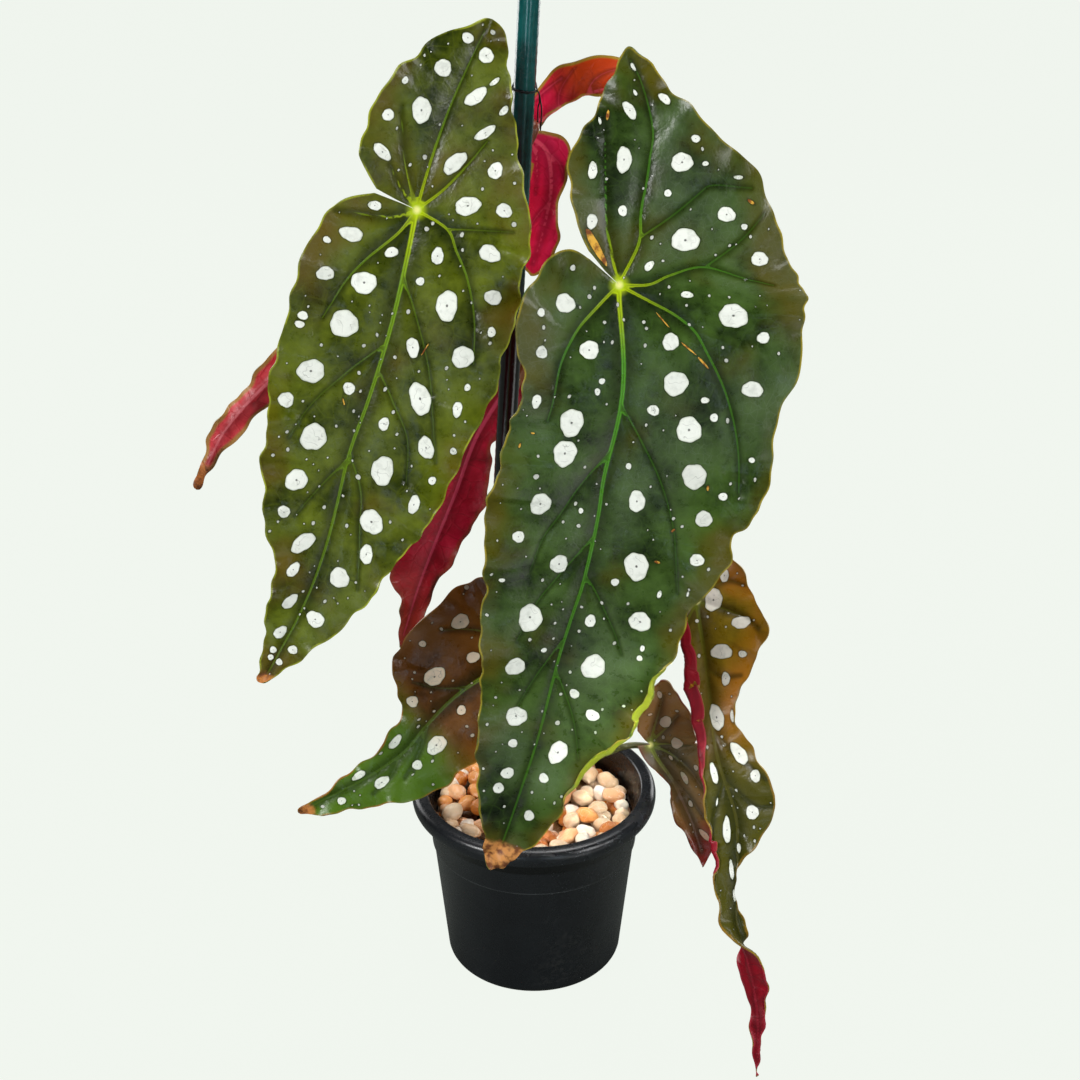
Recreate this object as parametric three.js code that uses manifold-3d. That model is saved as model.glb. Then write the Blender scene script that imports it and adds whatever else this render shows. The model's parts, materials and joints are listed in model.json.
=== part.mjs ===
// A polka dot begonia in a black nursery pot, tied to a plant stake. Millimetres, +Z up.
// The origin is the centre of the pot's underside, and -Y is the front.

import * as THREE from 'three';
import { mergeVertices } from 'three/addons/utils/BufferGeometryUtils.js';
import Module from 'manifold-3d';

const wasm = await Module();
wasm.setup();

// Clear space kept between pieces that touch
const GAP = 0.35;

const POT = {
  height: 96,
  rimRadius: 60,
  rimDepth: 8,
  mouthRadius: 52.5,
  bandTopRadius: 52.3,
  stepHeight: 66,
  stepRadius: 49.7,
  stepProud: 0.8,
  stepSlope: 0.5,
  footRadius: 43.6,
  footRounding: 5,
  wall: 1.8,
  floor: 2.4,
  sides: 44,
};
// The rolled rim's section from its underside to its top, as [out, up] from the rim's lower corner
const RIM_SECTION = [[-1.8, 0], [-0.4, 1.4], [0, 4.2], [-0.8, 6.8], [-2.8, 8]];
const MOUTH_ROUNDING = 1.3;
const DRAIN = { holes: 6, radius: 4, circle: 27, sides: 10 };
const SOIL_TOP = 71;
const PEBBLES = {
  count: 66,
  bedRadius: 48.4,
  bedTop: 75,
  spread: 43.5,
  halfLength: [4.8, 6.6],
  halfWidth: [3.8, 4.9],
  halfHeight: [3.2, 4.2],
  sunk: 0.4,
  rise: 3.5,
  tilt: 0.25,
  stray: 0.15,
  goldenAngle: 2.39996,
};
// What each pebble's draws decide
const DRAW = { stray: 1, height: 2, length: 3, width: 4, tilt: 5, heading: 6, rise: 7 };

const STAKE = { radius: 4.6, top: 505, bottom: 18, topX: 0.2, slope: 0.056, sides: 18 };
const CANE_RADIUS = 3.6;
const PETIOLE = { radius: 2.4, inset: 3, approach: 7, steps: 2 };
const STEM_SIDES = 8;
const TIE = { height: 440, wire: 0.9, centreY: 3.9, halfWidth: 7, halfDepth: 10.2, sides: 5, steps: 22 };
const TIE_TAIL = { x: 7.6, y: -0.5, length: 21 };

const BLADE = {
  thickness: 0.8,
  shoulder: 14,
  footShare: 0.94,
  ringPower: 0.75,
  bendLength: 50,
  leastBend: 0.01,
  calmLength: 25,
};
const SPINE_STEPS = 20;
const OUTLINE_STEPS = 10;

const COLOUR = {
  pot: [0x15171a, 0.45],
  soil: [0x2b1d13, 0.95],
  pebble: [0xd9b48c, 0.6],
  stake: [0x0f3a38, 0.3],
  tie: [0x10191a, 0.5],
  stem: [0x7d8a36, 0.5],
  olive: [0x4c5a17, 0.4],
  green: [0x2f4a22, 0.4],
  brown: [0x53380e, 0.45],
  crimson: [0x9c1228, 0.45],
};

// Each blade is a sheet bent over a spine, which runs along its midrib from the back lobe to the tip.
// A spine knot is [x, y, z, roll, bend left, bend right]: a place, the turn of the blade about the
// midrib in degrees, and how far each half curls to its upper side in degrees over 50 mm. An outline
// point is [across, along] on the blade laid flat, measured from where the petiole joins it. The
// outline starts at one side of the gap between the lobes and goes round by the tip to the other.
const LEAVES = {
  leaf_a: {
    colour: COLOUR.olive,
    face: [0, -1, 0],
    attach: 2,
    fold: 6,
    spacing: 9.5,
    rings: 5,
    wave: { height: 2.2, length: 38, phase: 0.4 },
    spine: [
      [-17, -17, 471, 0, 8, 8],
      [-34, -31, 436, 0, 8, 8],
      [-47, -41, 401, 0, 6, 6],
      [-61, -53, 349, 0, 4, 4],
      [-77, -63, 297, 0, 4, 4],
      [-94, -71, 249, 0, 6, 6],
      [-118, -79, 199, 0, 10, 10],
    ],
    outline: [
      [-19, 1], [-31, 6], [-38, 18], [-40, 36], [-41, 57], [-41, 78], [-39, 98], [-35, 120],
      [-27, 146], [-16, 166], [-13, 180], [-7, 198], [0, 218], [8, 205], [17, 192], [22, 174],
      [26, 160], [28, 150], [34, 140], [39, 125], [41, 112], [44, 96], [47, 80], [49, 60],
      [50, 36], [49, 14], [47, -6], [41, -21], [31, -36], [23, -52], [15, -67], [5, -78],
      [-4, -77], [-16, -64], [-25, -47], [-30, -30], [-30, -17], [-25, -9], [-18, -4],
    ],
  },
  leaf_b: {
    colour: COLOUR.green,
    face: [0, -1, 0],
    attach: 2,
    fold: 5,
    spacing: 10.5,
    rings: 5,
    wave: { height: 2.2, length: 42, phase: 2.1 },
    spine: [
      [38, -24, 462, 0, -6, -10],
      [43, -40, 418, 0, 4, -6],
      [35, -58, 375, 0, 6, -4],
      [37, -66, 328, 0, 6, 0],
      [26, -70, 275, 0, 6, 6],
      [13, -72, 218, 0, 8, 8],
      [1, -75, 166, 0, 8, 8],
      [-18, -79, 103, 0, 10, 10],
    ],
    outline: [
      [-14, -8], [-22, -11], [-31, -6], [-39, 6], [-43, 18], [-42, 34], [-43, 52], [-45, 72],
      [-47, 92], [-46, 110], [-42, 130], [-38, 152], [-33, 175], [-27, 200], [-20, 230],
      [-12, 255], [-6, 270], [0, 281], [8, 270], [15, 260], [18, 246], [23, 230], [29, 212],
      [37, 194], [44, 176], [48, 158], [54, 142], [61, 124], [62, 106], [61, 95], [65, 82],
      [69, 66], [67, 54], [70, 42], [75, 28], [75, 12], [75, -2], [69, -20], [61, -34],
      [53, -43], [44, -51], [34, -60], [22, -72], [10, -85], [1, -95], [-7, -87], [-13, -75],
      [-22, -64], [-30, -52], [-28, -36], [-21, -22], [-12, -13],
    ],
  },
  leaf_c: {
    colour: COLOUR.brown,
    face: [0, -1, 0.4],
    attach: 1,
    fold: 3,
    spacing: 9.5,
    rings: 4,
    wave: { height: 1.8, length: 34, phase: 1 },
    spine: [
      [14, -34, 196, 0, 6, 6],
      [-1, -38, 187, 0, 6, 6],
      [-23, -42, 174, 0, 4, 6],
      [-48, -46, 153, 0, 0, 8],
      [-76, -50, 132, 0, 4, 8],
      [-109, -56, 117, 0, 10, 10],
    ],
    outline: [
      [-9, -13], [-20, -16], [-34, -12], [-45, -2], [-47, 14], [-44, 28], [-40, 40], [-34, 50],
      [-24, 57], [-15, 64], [-10, 78], [-8, 92], [-5, 110], [0, 130], [8, 112], [14, 96],
      [20, 80], [23, 65], [23, 50], [26, 36], [28, 18], [27, 1], [23, -11], [14, -20], [2, -19],
    ],
  },
  leaf_d: {
    colour: COLOUR.brown,
    face: [-0.15, -1, 0.25],
    attach: 1,
    fold: 8,
    spacing: 9.5,
    rings: 5,
    wave: { height: 1.6, length: 38, phase: 0 },
    spine: [
      [77, -8, 226, 0, 12, 6],
      [75, -20, 209, 0, 16, 4],
      [77, -40, 187, 0, 24, 4],
      [80, -56, 159, 0, 30, 6],
      [86, -71, 134, 0, 24, 8],
      [92, -84, 108, 0, 16, 12],
      [93, -92, 82, 40, 10, 10],
      [97, -97, 66, 130, 8, 10],
      [103, -102, 38, 175, 8, 10],
      [104, -108, 6, 185, 10, 12],
    ],
    outline: [
      [-9, 2], [-10.5, 18], [-10, 36], [-8, 60], [-7.5, 84], [-9, 108], [-8, 130], [-6.5, 148],
      [-10, 162], [-9, 174], [-4, 190], [-2, 212], [0, 228], [2, 212], [4, 198], [5, 185], [7, 168],
      [6, 155], [4, 142], [5, 130], [8, 118], [16, 108], [25, 97], [26, 88], [18, 74],
      [15, 60], [16, 47], [20, 38], [27, 29], [30, 19], [27, 5], [23, -8], [15, -19],
      [3, -25], [-5, -19], [-8, -7],
    ],
  },
  leaf_e: {
    colour: COLOUR.brown,
    face: [0.1, -1, 0.5],
    attach: 1,
    fold: 18,
    spacing: 8,
    rings: 3,
    wave: { height: 0.9, length: 26, phase: 0.3 },
    spine: [
      [60, 6, 146, 0, 4, 4],
      [57, 4, 116, 0, 4, 4],
      [66, -5, 95, 0, 4, 4],
      [76, -15, 77, 0, 8, 8],
      [83, -23, 61, 0, 14, 14],
    ],
    outline: [
      [-7, -1], [-4, 8], [1, 21], [-2, 32], [-3, 44], [-2, 54], [0, 66], [8, 58], [16, 47],
      [21, 33], [24, 17], [23, -2], [20, -18], [13, -28], [4, -36], [-4, -30], [-8, -18], [-7, -8],
    ],
  },
  leaf_f: {
    colour: COLOUR.crimson,
    face: [0, 1, 0],
    attach: 1,
    fold: 4,
    spacing: 10,
    rings: 4,
    wave: { height: 1.8, length: 36, phase: 1.5 },
    spine: [
      [3, 24, 346, 0, 8, 8],
      [-2, 26, 316, 0, 6, 6],
      [-12, 26, 290, 0, 4, 4],
      [-26, 26, 256, 0, 4, 4],
      [-39, 24, 223, 0, 6, 6],
      [-52, 22, 191, 0, 6, 6],
      [-65, 20, 162, 0, 10, 10],
    ],
    outline: [
      [-9, -8], [-11, 4], [-9, 20], [-5, 34], [-3, 50], [-6, 62], [-9, 78], [-9, 94], [-7, 110],
      [-4, 124], [-4, 140], [-4, 148], [-3, 158], [0, 167], [5, 154], [9, 143], [16, 140],
      [20, 132], [22, 122], [21, 108], [20, 90], [21, 72], [21, 54], [20, 38], [18, 20],
      [15, 4], [12, -8], [7, -20], [0, -30], [-6, -24], [-7, -15],
    ],
  },
  leaf_g: {
    colour: COLOUR.crimson,
    face: [0, 1, 0],
    attach: 1,
    fold: 14,
    spacing: 10,
    rings: 4,
    wave: { height: 1.4, length: 32, phase: 0.8 },
    spine: [
      [-46, 10, 361, 0, 8, 8],
      [-59, 8, 350, 0, 8, 8],
      [-85, 4, 334, 0, 8, 8],
      [-110, 0, 316, 0, 8, 8],
      [-133, -6, 291, 0, 14, 14],
      [-151, -12, 263, 0, 20, 20],
    ],
    outline: [
      [7, -9], [15, 0], [16, 16], [13, 36], [9, 54], [8, 70], [7, 86], [7, 104], [5, 118],
      [0, 130], [-2, 118], [-4, 100], [-8, 82], [-14, 66], [-20, 46], [-22, 24], [-19, 7],
      [-15, -5], [-8, -16], [0, -20], [5, -17],
    ],
  },
  leaf_h: {
    colour: COLOUR.crimson,
    face: [0, 1, 0],
    attach: 4,
    fold: 5,
    spacing: 8.5,
    rings: 5,
    wave: { height: 1.2, length: 34, phase: 0.5 },
    spine: [
      [-1, 22, 351, 0, 6, 6],
      [5, 24, 369, 0, 6, 6],
      [8, 24, 389, 0, 6, 6],
      [6, 22, 407, 0, 6, 6],
      [-2, 20, 417, 0, 6, 30],
      [13, 22, 427, 0, 8, 60],
      [29, 21, 435, 0, 8, 60],
      [43, 18, 433, 0, 8, 60],
      [54, 14, 420, 0, 10, 60],
    ],
    outline: [
      [-9, 6], [-13, 14], [-14, 24], [-12, 34], [-10, 44], [-6, 56], [0, 66], [4, 58],
      [5, 48], [4, 36], [4, 22], [5, 10], [9, -2], [10, -12], [7.5, -22], [4.5, -34],
      [5, -46], [6.5, -56], [5, -64], [0, -72], [-7, -67], [-11, -55], [-12, -43], [-11, -30],
      [-8, -18],
    ],
  },
};

function material([color, roughness]) {
  return new THREE.MeshStandardMaterial({ color, roughness, metalness: 0 });
}

function vec(point) {
  return new THREE.Vector3(point[0], point[1], point[2]);
}

function stakeX(z) {
  return STAKE.topX - (STAKE.top - z) * STAKE.slope;
}

// The same number between 0 and 1 each time for a piece and a purpose
function chance(piece, purpose) {
  const value = Math.sin(piece * 12.9898 + purpose * 78.233) * 43758.5453;
  return value - Math.floor(value);
}

function between(range, share) {
  return range[0] + (range[1] - range[0]) * share;
}

function signedVolume(geometry) {
  const place = geometry.attributes.position;
  const order = geometry.index.array;
  const a = new THREE.Vector3();
  const b = new THREE.Vector3();
  const c = new THREE.Vector3();
  let volume = 0;
  for (let i = 0; i < order.length; i += 3) {
    a.fromBufferAttribute(place, order[i]);
    b.fromBufferAttribute(place, order[i + 1]);
    c.fromBufferAttribute(place, order[i + 2]);
    volume += a.dot(b.cross(c)) / 6;
  }
  return volume;
}

// Shared corners, no empty triangles, and faces that point out
function closedGeometry(geometry) {
  geometry.deleteAttribute('normal');
  geometry.deleteAttribute('uv');
  const merged = mergeVertices(geometry, 1e-4);
  const order = merged.index.array;
  const kept = [];
  for (let i = 0; i < order.length; i += 3) {
    const [a, b, c] = [order[i], order[i + 1], order[i + 2]];
    if (a !== b && b !== c && c !== a) kept.push(a, b, c);
  }
  merged.setIndex(kept);
  if (signedVolume(merged) < 0) {
    for (let i = 0; i < kept.length; i += 3) {
      [kept[i + 1], kept[i + 2]] = [kept[i + 2], kept[i + 1]];
    }
    merged.setIndex(kept);
  }
  return merged;
}

function solidOf(geometry) {
  const closed = closedGeometry(geometry);
  const vertProperties = new Float32Array(closed.attributes.position.array);
  const triVerts = new Uint32Array(closed.index.array);
  return new wasm.Manifold(new wasm.Mesh({ numProp: 3, vertProperties, triVerts }));
}

function geometryOf(solid) {
  const mesh = solid.getMesh();
  const geometry = new THREE.BufferGeometry();
  geometry.setAttribute('position', new THREE.BufferAttribute(new Float32Array(mesh.vertProperties), 3));
  geometry.setIndex(new THREE.BufferAttribute(new Uint32Array(mesh.triVerts), 1));
  return geometry;
}

function joined(solids) {
  return solids.reduce((whole, solid) => whole.add(solid));
}

// The largest body, without scraps and sealed hollows
function largestBody(solid) {
  return solid.decompose().sort((a, b) => b.volume() - a.volume())[0];
}

function lathe(profile, sides) {
  const points = profile.map(([r, z]) => new THREE.Vector2(r, z));
  return new THREE.LatheGeometry(points, sides).rotateX(Math.PI / 2);
}

// A round bar along a smooth line through the points
function bar(points, radius, sides, stepsPerPoint) {
  const path = new THREE.CatmullRomCurve3(points.map(vec));
  const section = new THREE.Shape();
  for (let i = 0; i < sides; i++) {
    const angle = (i / sides) * 2 * Math.PI;
    const corner = [radius * Math.cos(angle), radius * Math.sin(angle)];
    if (i === 0) section.moveTo(...corner);
    else section.lineTo(...corner);
  }
  section.closePath();
  const steps = stepsPerPoint * (points.length - 1);
  return new THREE.ExtrudeGeometry(section, { steps, extrudePath: path, curveSegments: 1 });
}

// Pot, potting mix and pebbles

function potInnerRadius(z) {
  const innerFoot = POT.footRadius - POT.wall;
  const share = (z - POT.footRounding) / (POT.height - POT.rimDepth - POT.footRounding);
  return innerFoot + (POT.bandTopRadius - POT.wall - innerFoot) * share;
}

function potGeometry() {
  const flat = POT.footRadius - POT.footRounding;
  const rimLow = POT.height - POT.rimDepth;
  const profile = [[0, 0]];
  for (let i = 0; i <= 3; i++) {
    const angle = (i / 3) * (Math.PI / 2);
    const r = flat + POT.footRounding * Math.sin(angle);
    profile.push([r, POT.footRounding * (1 - Math.cos(angle))]);
  }
  profile.push(
    [POT.stepRadius, POT.stepHeight - POT.stepSlope],
    [POT.stepRadius + POT.stepProud, POT.stepHeight + POT.stepSlope],
    [POT.bandTopRadius, rimLow],
    ...RIM_SECTION.map(([out, up]) => [POT.rimRadius + out, rimLow + up]),
    [POT.mouthRadius + MOUTH_ROUNDING, POT.height],
    [POT.mouthRadius, POT.height - MOUTH_ROUNDING],
    [potInnerRadius(rimLow) + POT.stepSlope, rimLow + POT.stepSlope],
    [potInnerRadius(POT.footRounding + POT.floor), POT.footRounding + POT.floor],
    [flat - POT.stepSlope, POT.floor],
    [0, POT.floor],
  );
  let pot = solidOf(lathe(profile, POT.sides));
  for (let i = 0; i < DRAIN.holes; i++) {
    const angle = (i / DRAIN.holes) * 2 * Math.PI;
    const drill = new THREE.CylinderGeometry(DRAIN.radius, DRAIN.radius, 4 * POT.floor, DRAIN.sides);
    drill.rotateX(Math.PI / 2);
    drill.translate(DRAIN.circle * Math.cos(angle), DRAIN.circle * Math.sin(angle), 0);
    pot = pot.subtract(solidOf(drill));
  }
  return geometryOf(pot);
}

// Holes that the stake and the stems stand in
function stemHoles() {
  const stake = [
    [stakeX(STAKE.bottom - GAP), 0, STAKE.bottom - GAP],
    [stakeX(110), 0, 110],
  ];
  const holes = [solidOf(bar(stake, STAKE.radius + GAP, STAKE.sides, 1))];
  for (const route of [MAIN_CANE, LOWER_CANE, SHOOT]) {
    const low = [route[0][0], route[0][1], route[0][2] - GAP];
    holes.push(solidOf(bar([low, ...route.slice(1, 3)], CANE_RADIUS + GAP, STEM_SIDES, 3)));
  }
  return joined(holes);
}

function soilGeometry() {
  const low = POT.floor + GAP;
  const bend = POT.footRounding + 3;
  const profile = [
    [0, low],
    [POT.footRadius - POT.footRounding - 1.2, low],
    [potInnerRadius(bend) - GAP, bend],
    [potInnerRadius(SOIL_TOP) - GAP, SOIL_TOP],
    [0, SOIL_TOP],
  ];
  return geometryOf(largestBody(solidOf(lathe(profile, POT.sides)).subtract(stemHoles())));
}

function pebble(i) {
  const reach = PEBBLES.spread * Math.sqrt((i + 0.5) / PEBBLES.count);
  const angle = i * PEBBLES.goldenAngle + PEBBLES.stray * (2 * chance(i, DRAW.stray) - 1);
  const halfHeight = between(PEBBLES.halfHeight, chance(i, DRAW.height));
  const halfLength = between(PEBBLES.halfLength, chance(i, DRAW.length));
  const halfWidth = between(PEBBLES.halfWidth, chance(i, DRAW.width));
  const stone = new THREE.SphereGeometry(1, 6, 4);
  stone.scale(halfLength, halfWidth, halfHeight);
  stone.rotateX(PEBBLES.tilt * (2 * chance(i, DRAW.tilt) - 1));
  stone.rotateZ(2 * Math.PI * chance(i, DRAW.heading));
  const z = PEBBLES.bedTop + PEBBLES.sunk * halfHeight + PEBBLES.rise * chance(i, DRAW.rise);
  stone.translate(reach * Math.cos(angle), reach * Math.sin(angle), z);
  return solidOf(stone);
}

function pebblesGeometry() {
  const low = SOIL_TOP + GAP;
  const side = PEBBLES.bedRadius;
  const bed = lathe([[0, low], [side, low], [side, PEBBLES.bedTop], [0, PEBBLES.bedTop]], 36);
  const stones = Array.from({ length: PEBBLES.count }, (_, i) => pebble(i));
  return geometryOf(largestBody(joined([solidOf(bed), ...stones]).subtract(stemHoles())));
}

// Stake and tie

function stakeGeometry() {
  const length = STAKE.top - STAKE.bottom;
  const profile = [
    [0, 0],
    [STAKE.radius - 1, 0],
    [STAKE.radius, 1],
    [STAKE.radius, length - 3],
    [0.85 * STAKE.radius, length - 1.3],
    [0.5 * STAKE.radius, length - 0.3],
    [0, length],
  ];
  const stake = lathe(profile, STAKE.sides).rotateY(Math.atan(STAKE.slope));
  return closedGeometry(stake.translate(stakeX(STAKE.bottom), 0, STAKE.bottom));
}

function tieGeometry() {
  const position = [];
  const order = [];
  for (let i = 0; i < TIE.steps; i++) {
    const turn = (i / TIE.steps) * 2 * Math.PI;
    const [across, deep] = [Math.cos(turn), Math.sin(turn)];
    const out = new THREE.Vector2(across / TIE.halfWidth, deep / TIE.halfDepth).normalize();
    for (let j = 0; j < TIE.sides; j++) {
      const angle = (j / TIE.sides) * 2 * Math.PI;
      const reach = TIE.wire * Math.cos(angle);
      position.push(stakeX(TIE.height) + TIE.halfWidth * across + out.x * reach);
      position.push(TIE.centreY + TIE.halfDepth * deep + out.y * reach);
      position.push(TIE.height + TIE.wire * Math.sin(angle));
      const nextStep = ((i + 1) % TIE.steps) * TIE.sides;
      const nextSide = (j + 1) % TIE.sides;
      const [a, b] = [i * TIE.sides + j, i * TIE.sides + nextSide];
      const [c, d] = [nextStep + nextSide, nextStep + j];
      order.push(a, b, c, a, c, d);
    }
  }
  const ring = new THREE.BufferGeometry();
  ring.setAttribute('position', new THREE.Float32BufferAttribute(position, 3));
  ring.setIndex(order);
  const x = stakeX(TIE.height) + TIE_TAIL.x;
  const tail = [
    [x - 1.6, TIE_TAIL.y + 1, TIE.height + 0.4],
    [x, TIE_TAIL.y, TIE.height - 0.3 * TIE_TAIL.length],
    [x - 0.4, TIE_TAIL.y, TIE.height - 0.7 * TIE_TAIL.length],
    [x + 0.6, TIE_TAIL.y - 1, TIE.height - TIE_TAIL.length],
  ];
  return geometryOf(solidOf(ring).add(solidOf(bar(tail, TIE.wire, TIE.sides, 3))));
}

// Canes and petioles

const MAIN_CANE = [
  [stakeX(40), 9.6, 40],
  [stakeX(120) + 1.5, 10.5, 120],
  [stakeX(200) - 1, 11, 200],
  [stakeX(290) + 1, 10, 290],
  [stakeX(371), 9, 371],
  [stakeX(440), 9, 440],
  [stakeX(457) - 0.5, 9.5, 457],
];
const LOWER_CANE = [
  [17, 18, 40],
  [16, 16, 95],
  [14, 14, 150],
];
const SHOOT = [
  [13, 3, 50],
  [14, 4, 85],
  [21, 6, 102],
  [33, 6.5, 108],
  [46, 6, 114],
];
const MAIN_PETIOLES = {
  leaf_a: [[-5, 10, 380], [-20, 6, 397], [-36, -12, 405]],
  leaf_b: [[-8, 10, 338], [5, 8, 352], [21, -26, 371]],
  leaf_f: [[-12, 10, 282], [-9, 13, 300]],
  leaf_g: [[-8, 10, 320], [-24, 2, 342], [-46, -2, 354]],
  leaf_h: [[-7, 11, 388], [-6, 12, 404]],
};
const LOWER_PETIOLES = {
  leaf_c: [[15, 15, 135], [12, 5, 162], [4, -22, 180]],
  leaf_d: [[14, 14, 140], [24, 14, 180], [50, 8, 206]],
};

// A petiole meets its blade square on, from the underside, just inside the gap between the lobes
function petiole(leaf, route) {
  const spine = new Spine(leaf);
  const foot = spine.point(0, PETIOLE.inset);
  const out = spine.normal(0, PETIOLE.inset);
  const behind = (distance) => foot.clone().addScaledVector(out, -distance).toArray();
  const points = [...route, behind(PETIOLE.approach), behind(BLADE.thickness / 2 + GAP)];
  return solidOf(bar(points, PETIOLE.radius, STEM_SIDES, PETIOLE.steps));
}

function stemsGeometry(trunk, petioles) {
  const bars = Object.entries(petioles).map(([name, route]) => petiole(LEAVES[name], route));
  if (trunk) bars.unshift(solidOf(bar(trunk, CANE_RADIUS, STEM_SIDES, 3)));
  return geometryOf(joined(bars));
}

// Leaf blades

class Spine {
  constructor(leaf) {
    const curve = (from) => {
      const points = leaf.spine.map((knot) => vec(knot.slice(from)));
      return new THREE.CatmullRomCurve3(points, false, 'catmullrom', 0.5);
    };
    this.places = curve(0);
    this.bends = curve(3);
    this.face = vec(leaf.face);
    this.fold = THREE.MathUtils.degToRad(leaf.fold);
    const steps = SPINE_STEPS * (leaf.spine.length - 1);
    this.along = [0];
    for (let i = 1; i <= steps; i++) {
      const step = this.places.getPoint(i / steps).distanceTo(this.places.getPoint((i - 1) / steps));
      this.along.push(this.along[i - 1] + step);
    }
    const start = this.along[SPINE_STEPS * leaf.attach];
    this.along = this.along.map((length) => length - start);
    this.low = this.along[0];
    this.high = this.along[steps];
  }

  share(y) {
    const length = THREE.MathUtils.clamp(y, this.low, this.high);
    let i = 1;
    while (this.along[i] < length && i < this.along.length - 1) i++;
    const part = (length - this.along[i - 1]) / (this.along[i] - this.along[i - 1]);
    return (i - 1 + part) / (this.along.length - 1);
  }

  frame(y) {
    const inside = THREE.MathUtils.clamp(y, this.low + 2, this.high - 2);
    const ahead = this.places.getPoint(this.share(inside + 2));
    const along = ahead.sub(this.places.getPoint(this.share(inside - 2))).normalize();
    const bend = this.bends.getPoint(this.share(y));
    const up = this.face.clone().addScaledVector(along, -this.face.dot(along)).normalize();
    up.applyAxisAngle(along, -THREE.MathUtils.degToRad(bend.x));
    const across = up.clone().cross(along);
    const over = y - THREE.MathUtils.clamp(y, this.low, this.high);
    const centre = this.places.getPoint(this.share(y)).addScaledVector(along, over);
    return { centre, up, across, bend };
  }

  point(x, y) {
    const { centre, up, across, bend } = this.frame(y);
    const degrees = (x < 0 ? bend.y : bend.z) || BLADE.leastBend;
    const curl = THREE.MathUtils.degToRad(degrees) / BLADE.bendLength;
    const out = Math.sin(curl * Math.abs(x)) / curl;
    const rise = (1 - Math.cos(curl * Math.abs(x))) / curl;
    const foldedOut = out * Math.cos(this.fold) - rise * Math.sin(this.fold);
    const foldedRise = out * Math.sin(this.fold) + rise * Math.cos(this.fold);
    return centre.addScaledVector(across, foldedOut * Math.sign(x)).addScaledVector(up, foldedRise);
  }

  normal(x, y) {
    const along = this.point(x, y + 0.5).sub(this.point(x, y - 0.5));
    const across = this.point(x + 0.5, y).sub(this.point(x - 0.5, y));
    return along.cross(across).normalize();
  }
}

// Lines from the midrib or the attachment out to the margin, in order round the blade
function spokes(leaf) {
  const curve = new THREE.SplineCurve(leaf.outline.map(([x, y]) => new THREE.Vector2(x, y)));
  const edge = curve.getPoints(OUTLINE_STEPS * (leaf.outline.length - 1));
  const along = [0];
  for (let i = 1; i < edge.length; i++) along.push(along[i - 1] + edge[i].distanceTo(edge[i - 1]));
  const total = along[along.length - 1];
  const at = (length) => {
    let i = 1;
    while (along[i] < length && i < along.length - 1) i++;
    const part = (length - along[i - 1]) / (along[i] - along[i - 1]);
    return edge[i - 1].clone().lerp(edge[i], part);
  };
  const tip = edge.reduce((best, point, i) => (point.y > edge[best].y ? i : best), 0);
  let left = tip;
  while (left > 0 && edge[left].y > BLADE.shoulder) left--;
  let right = tip;
  while (right < edge.length - 1 && edge[right].y > BLADE.shoulder) right++;
  const feet = Math.round((along[right] - along[left]) / 2 / leaf.spacing);
  const tipY = edge[tip].y;
  const list = [];
  const add = (length, foot) => {
    const nearEnd = Math.min(length, total - length, Math.abs(length - along[tip]));
    const calm = THREE.MathUtils.clamp(nearEnd / BLADE.calmLength, 0, 1);
    const footY = (foot / feet) * tipY * BLADE.footShare;
    list.push({ foot, footY, edge: at(length), length, calm });
  };
  const fanLeft = Math.round(along[left] / leaf.spacing);
  const fanRight = Math.round((total - along[right]) / leaf.spacing);
  for (let i = 0; i < fanLeft; i++) add((along[left] * i) / fanLeft, 0);
  for (let i = 0; i <= feet; i++) add(along[left] + ((along[tip] - along[left]) * i) / feet, i);
  for (let i = 1; i <= feet; i++) add(along[tip] + ((along[right] - along[tip]) * i) / feet, feet - i);
  for (let i = 1; i <= fanRight; i++) add(along[right] + ((total - along[right]) * i) / fanRight, 0);
  return list;
}

function bladeGeometry(leaf, thickness) {
  const spine = new Spine(leaf);
  const lines = spokes(leaf);
  const position = [];
  const vertex = (x, y, wave) => {
    const normal = spine.normal(x, y);
    const middle = spine.point(x, y).addScaledVector(normal, wave);
    position.push(...middle.clone().addScaledVector(normal, thickness / 2).toArray());
    position.push(...middle.addScaledVector(normal, -thickness / 2).toArray());
    return position.length / 6 - 1;
  };
  const feet = new Map();
  for (const line of lines) {
    if (!feet.has(line.foot)) feet.set(line.foot, vertex(0, line.footY, 0));
    line.rings = [feet.get(line.foot)];
    for (let j = 1; j <= leaf.rings; j++) {
      const t = (j / leaf.rings) ** BLADE.ringPower;
      const x = line.edge.x * t;
      const y = line.footY + (line.edge.y - line.footY) * t;
      const turn = (line.length / leaf.wave.length) * 2 * Math.PI + leaf.wave.phase;
      line.rings.push(vertex(x, y, leaf.wave.height * line.calm * t ** 3 * Math.sin(turn)));
    }
  }
  const order = [];
  const face = (a, b, c) => {
    if (a === b || b === c || c === a) return;
    order.push(2 * a, 2 * b, 2 * c);
    order.push(2 * a + 1, 2 * c + 1, 2 * b + 1);
  };
  const wall = (a, b) => {
    if (a !== b) order.push(2 * a, 2 * a + 1, 2 * b + 1, 2 * a, 2 * b + 1, 2 * b);
  };
  for (let i = 1; i < lines.length; i++) {
    const [near, far] = [lines[i - 1].rings, lines[i].rings];
    for (let j = 1; j < near.length; j++) {
      face(near[j - 1], near[j], far[j]);
      face(near[j - 1], far[j], far[j - 1]);
    }
    wall(near[leaf.rings], far[leaf.rings]);
  }
  const [first, last] = [lines[0].rings, lines[lines.length - 1].rings];
  for (let j = 1; j <= leaf.rings; j++) {
    wall(first[j - 1], first[j]);
    wall(last[j], last[j - 1]);
  }
  const geometry = new THREE.BufferGeometry();
  geometry.setAttribute('position', new THREE.Float32BufferAttribute(position, 3));
  geometry.setIndex(order);
  return closedGeometry(geometry);
}

const group = new THREE.Group();

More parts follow.
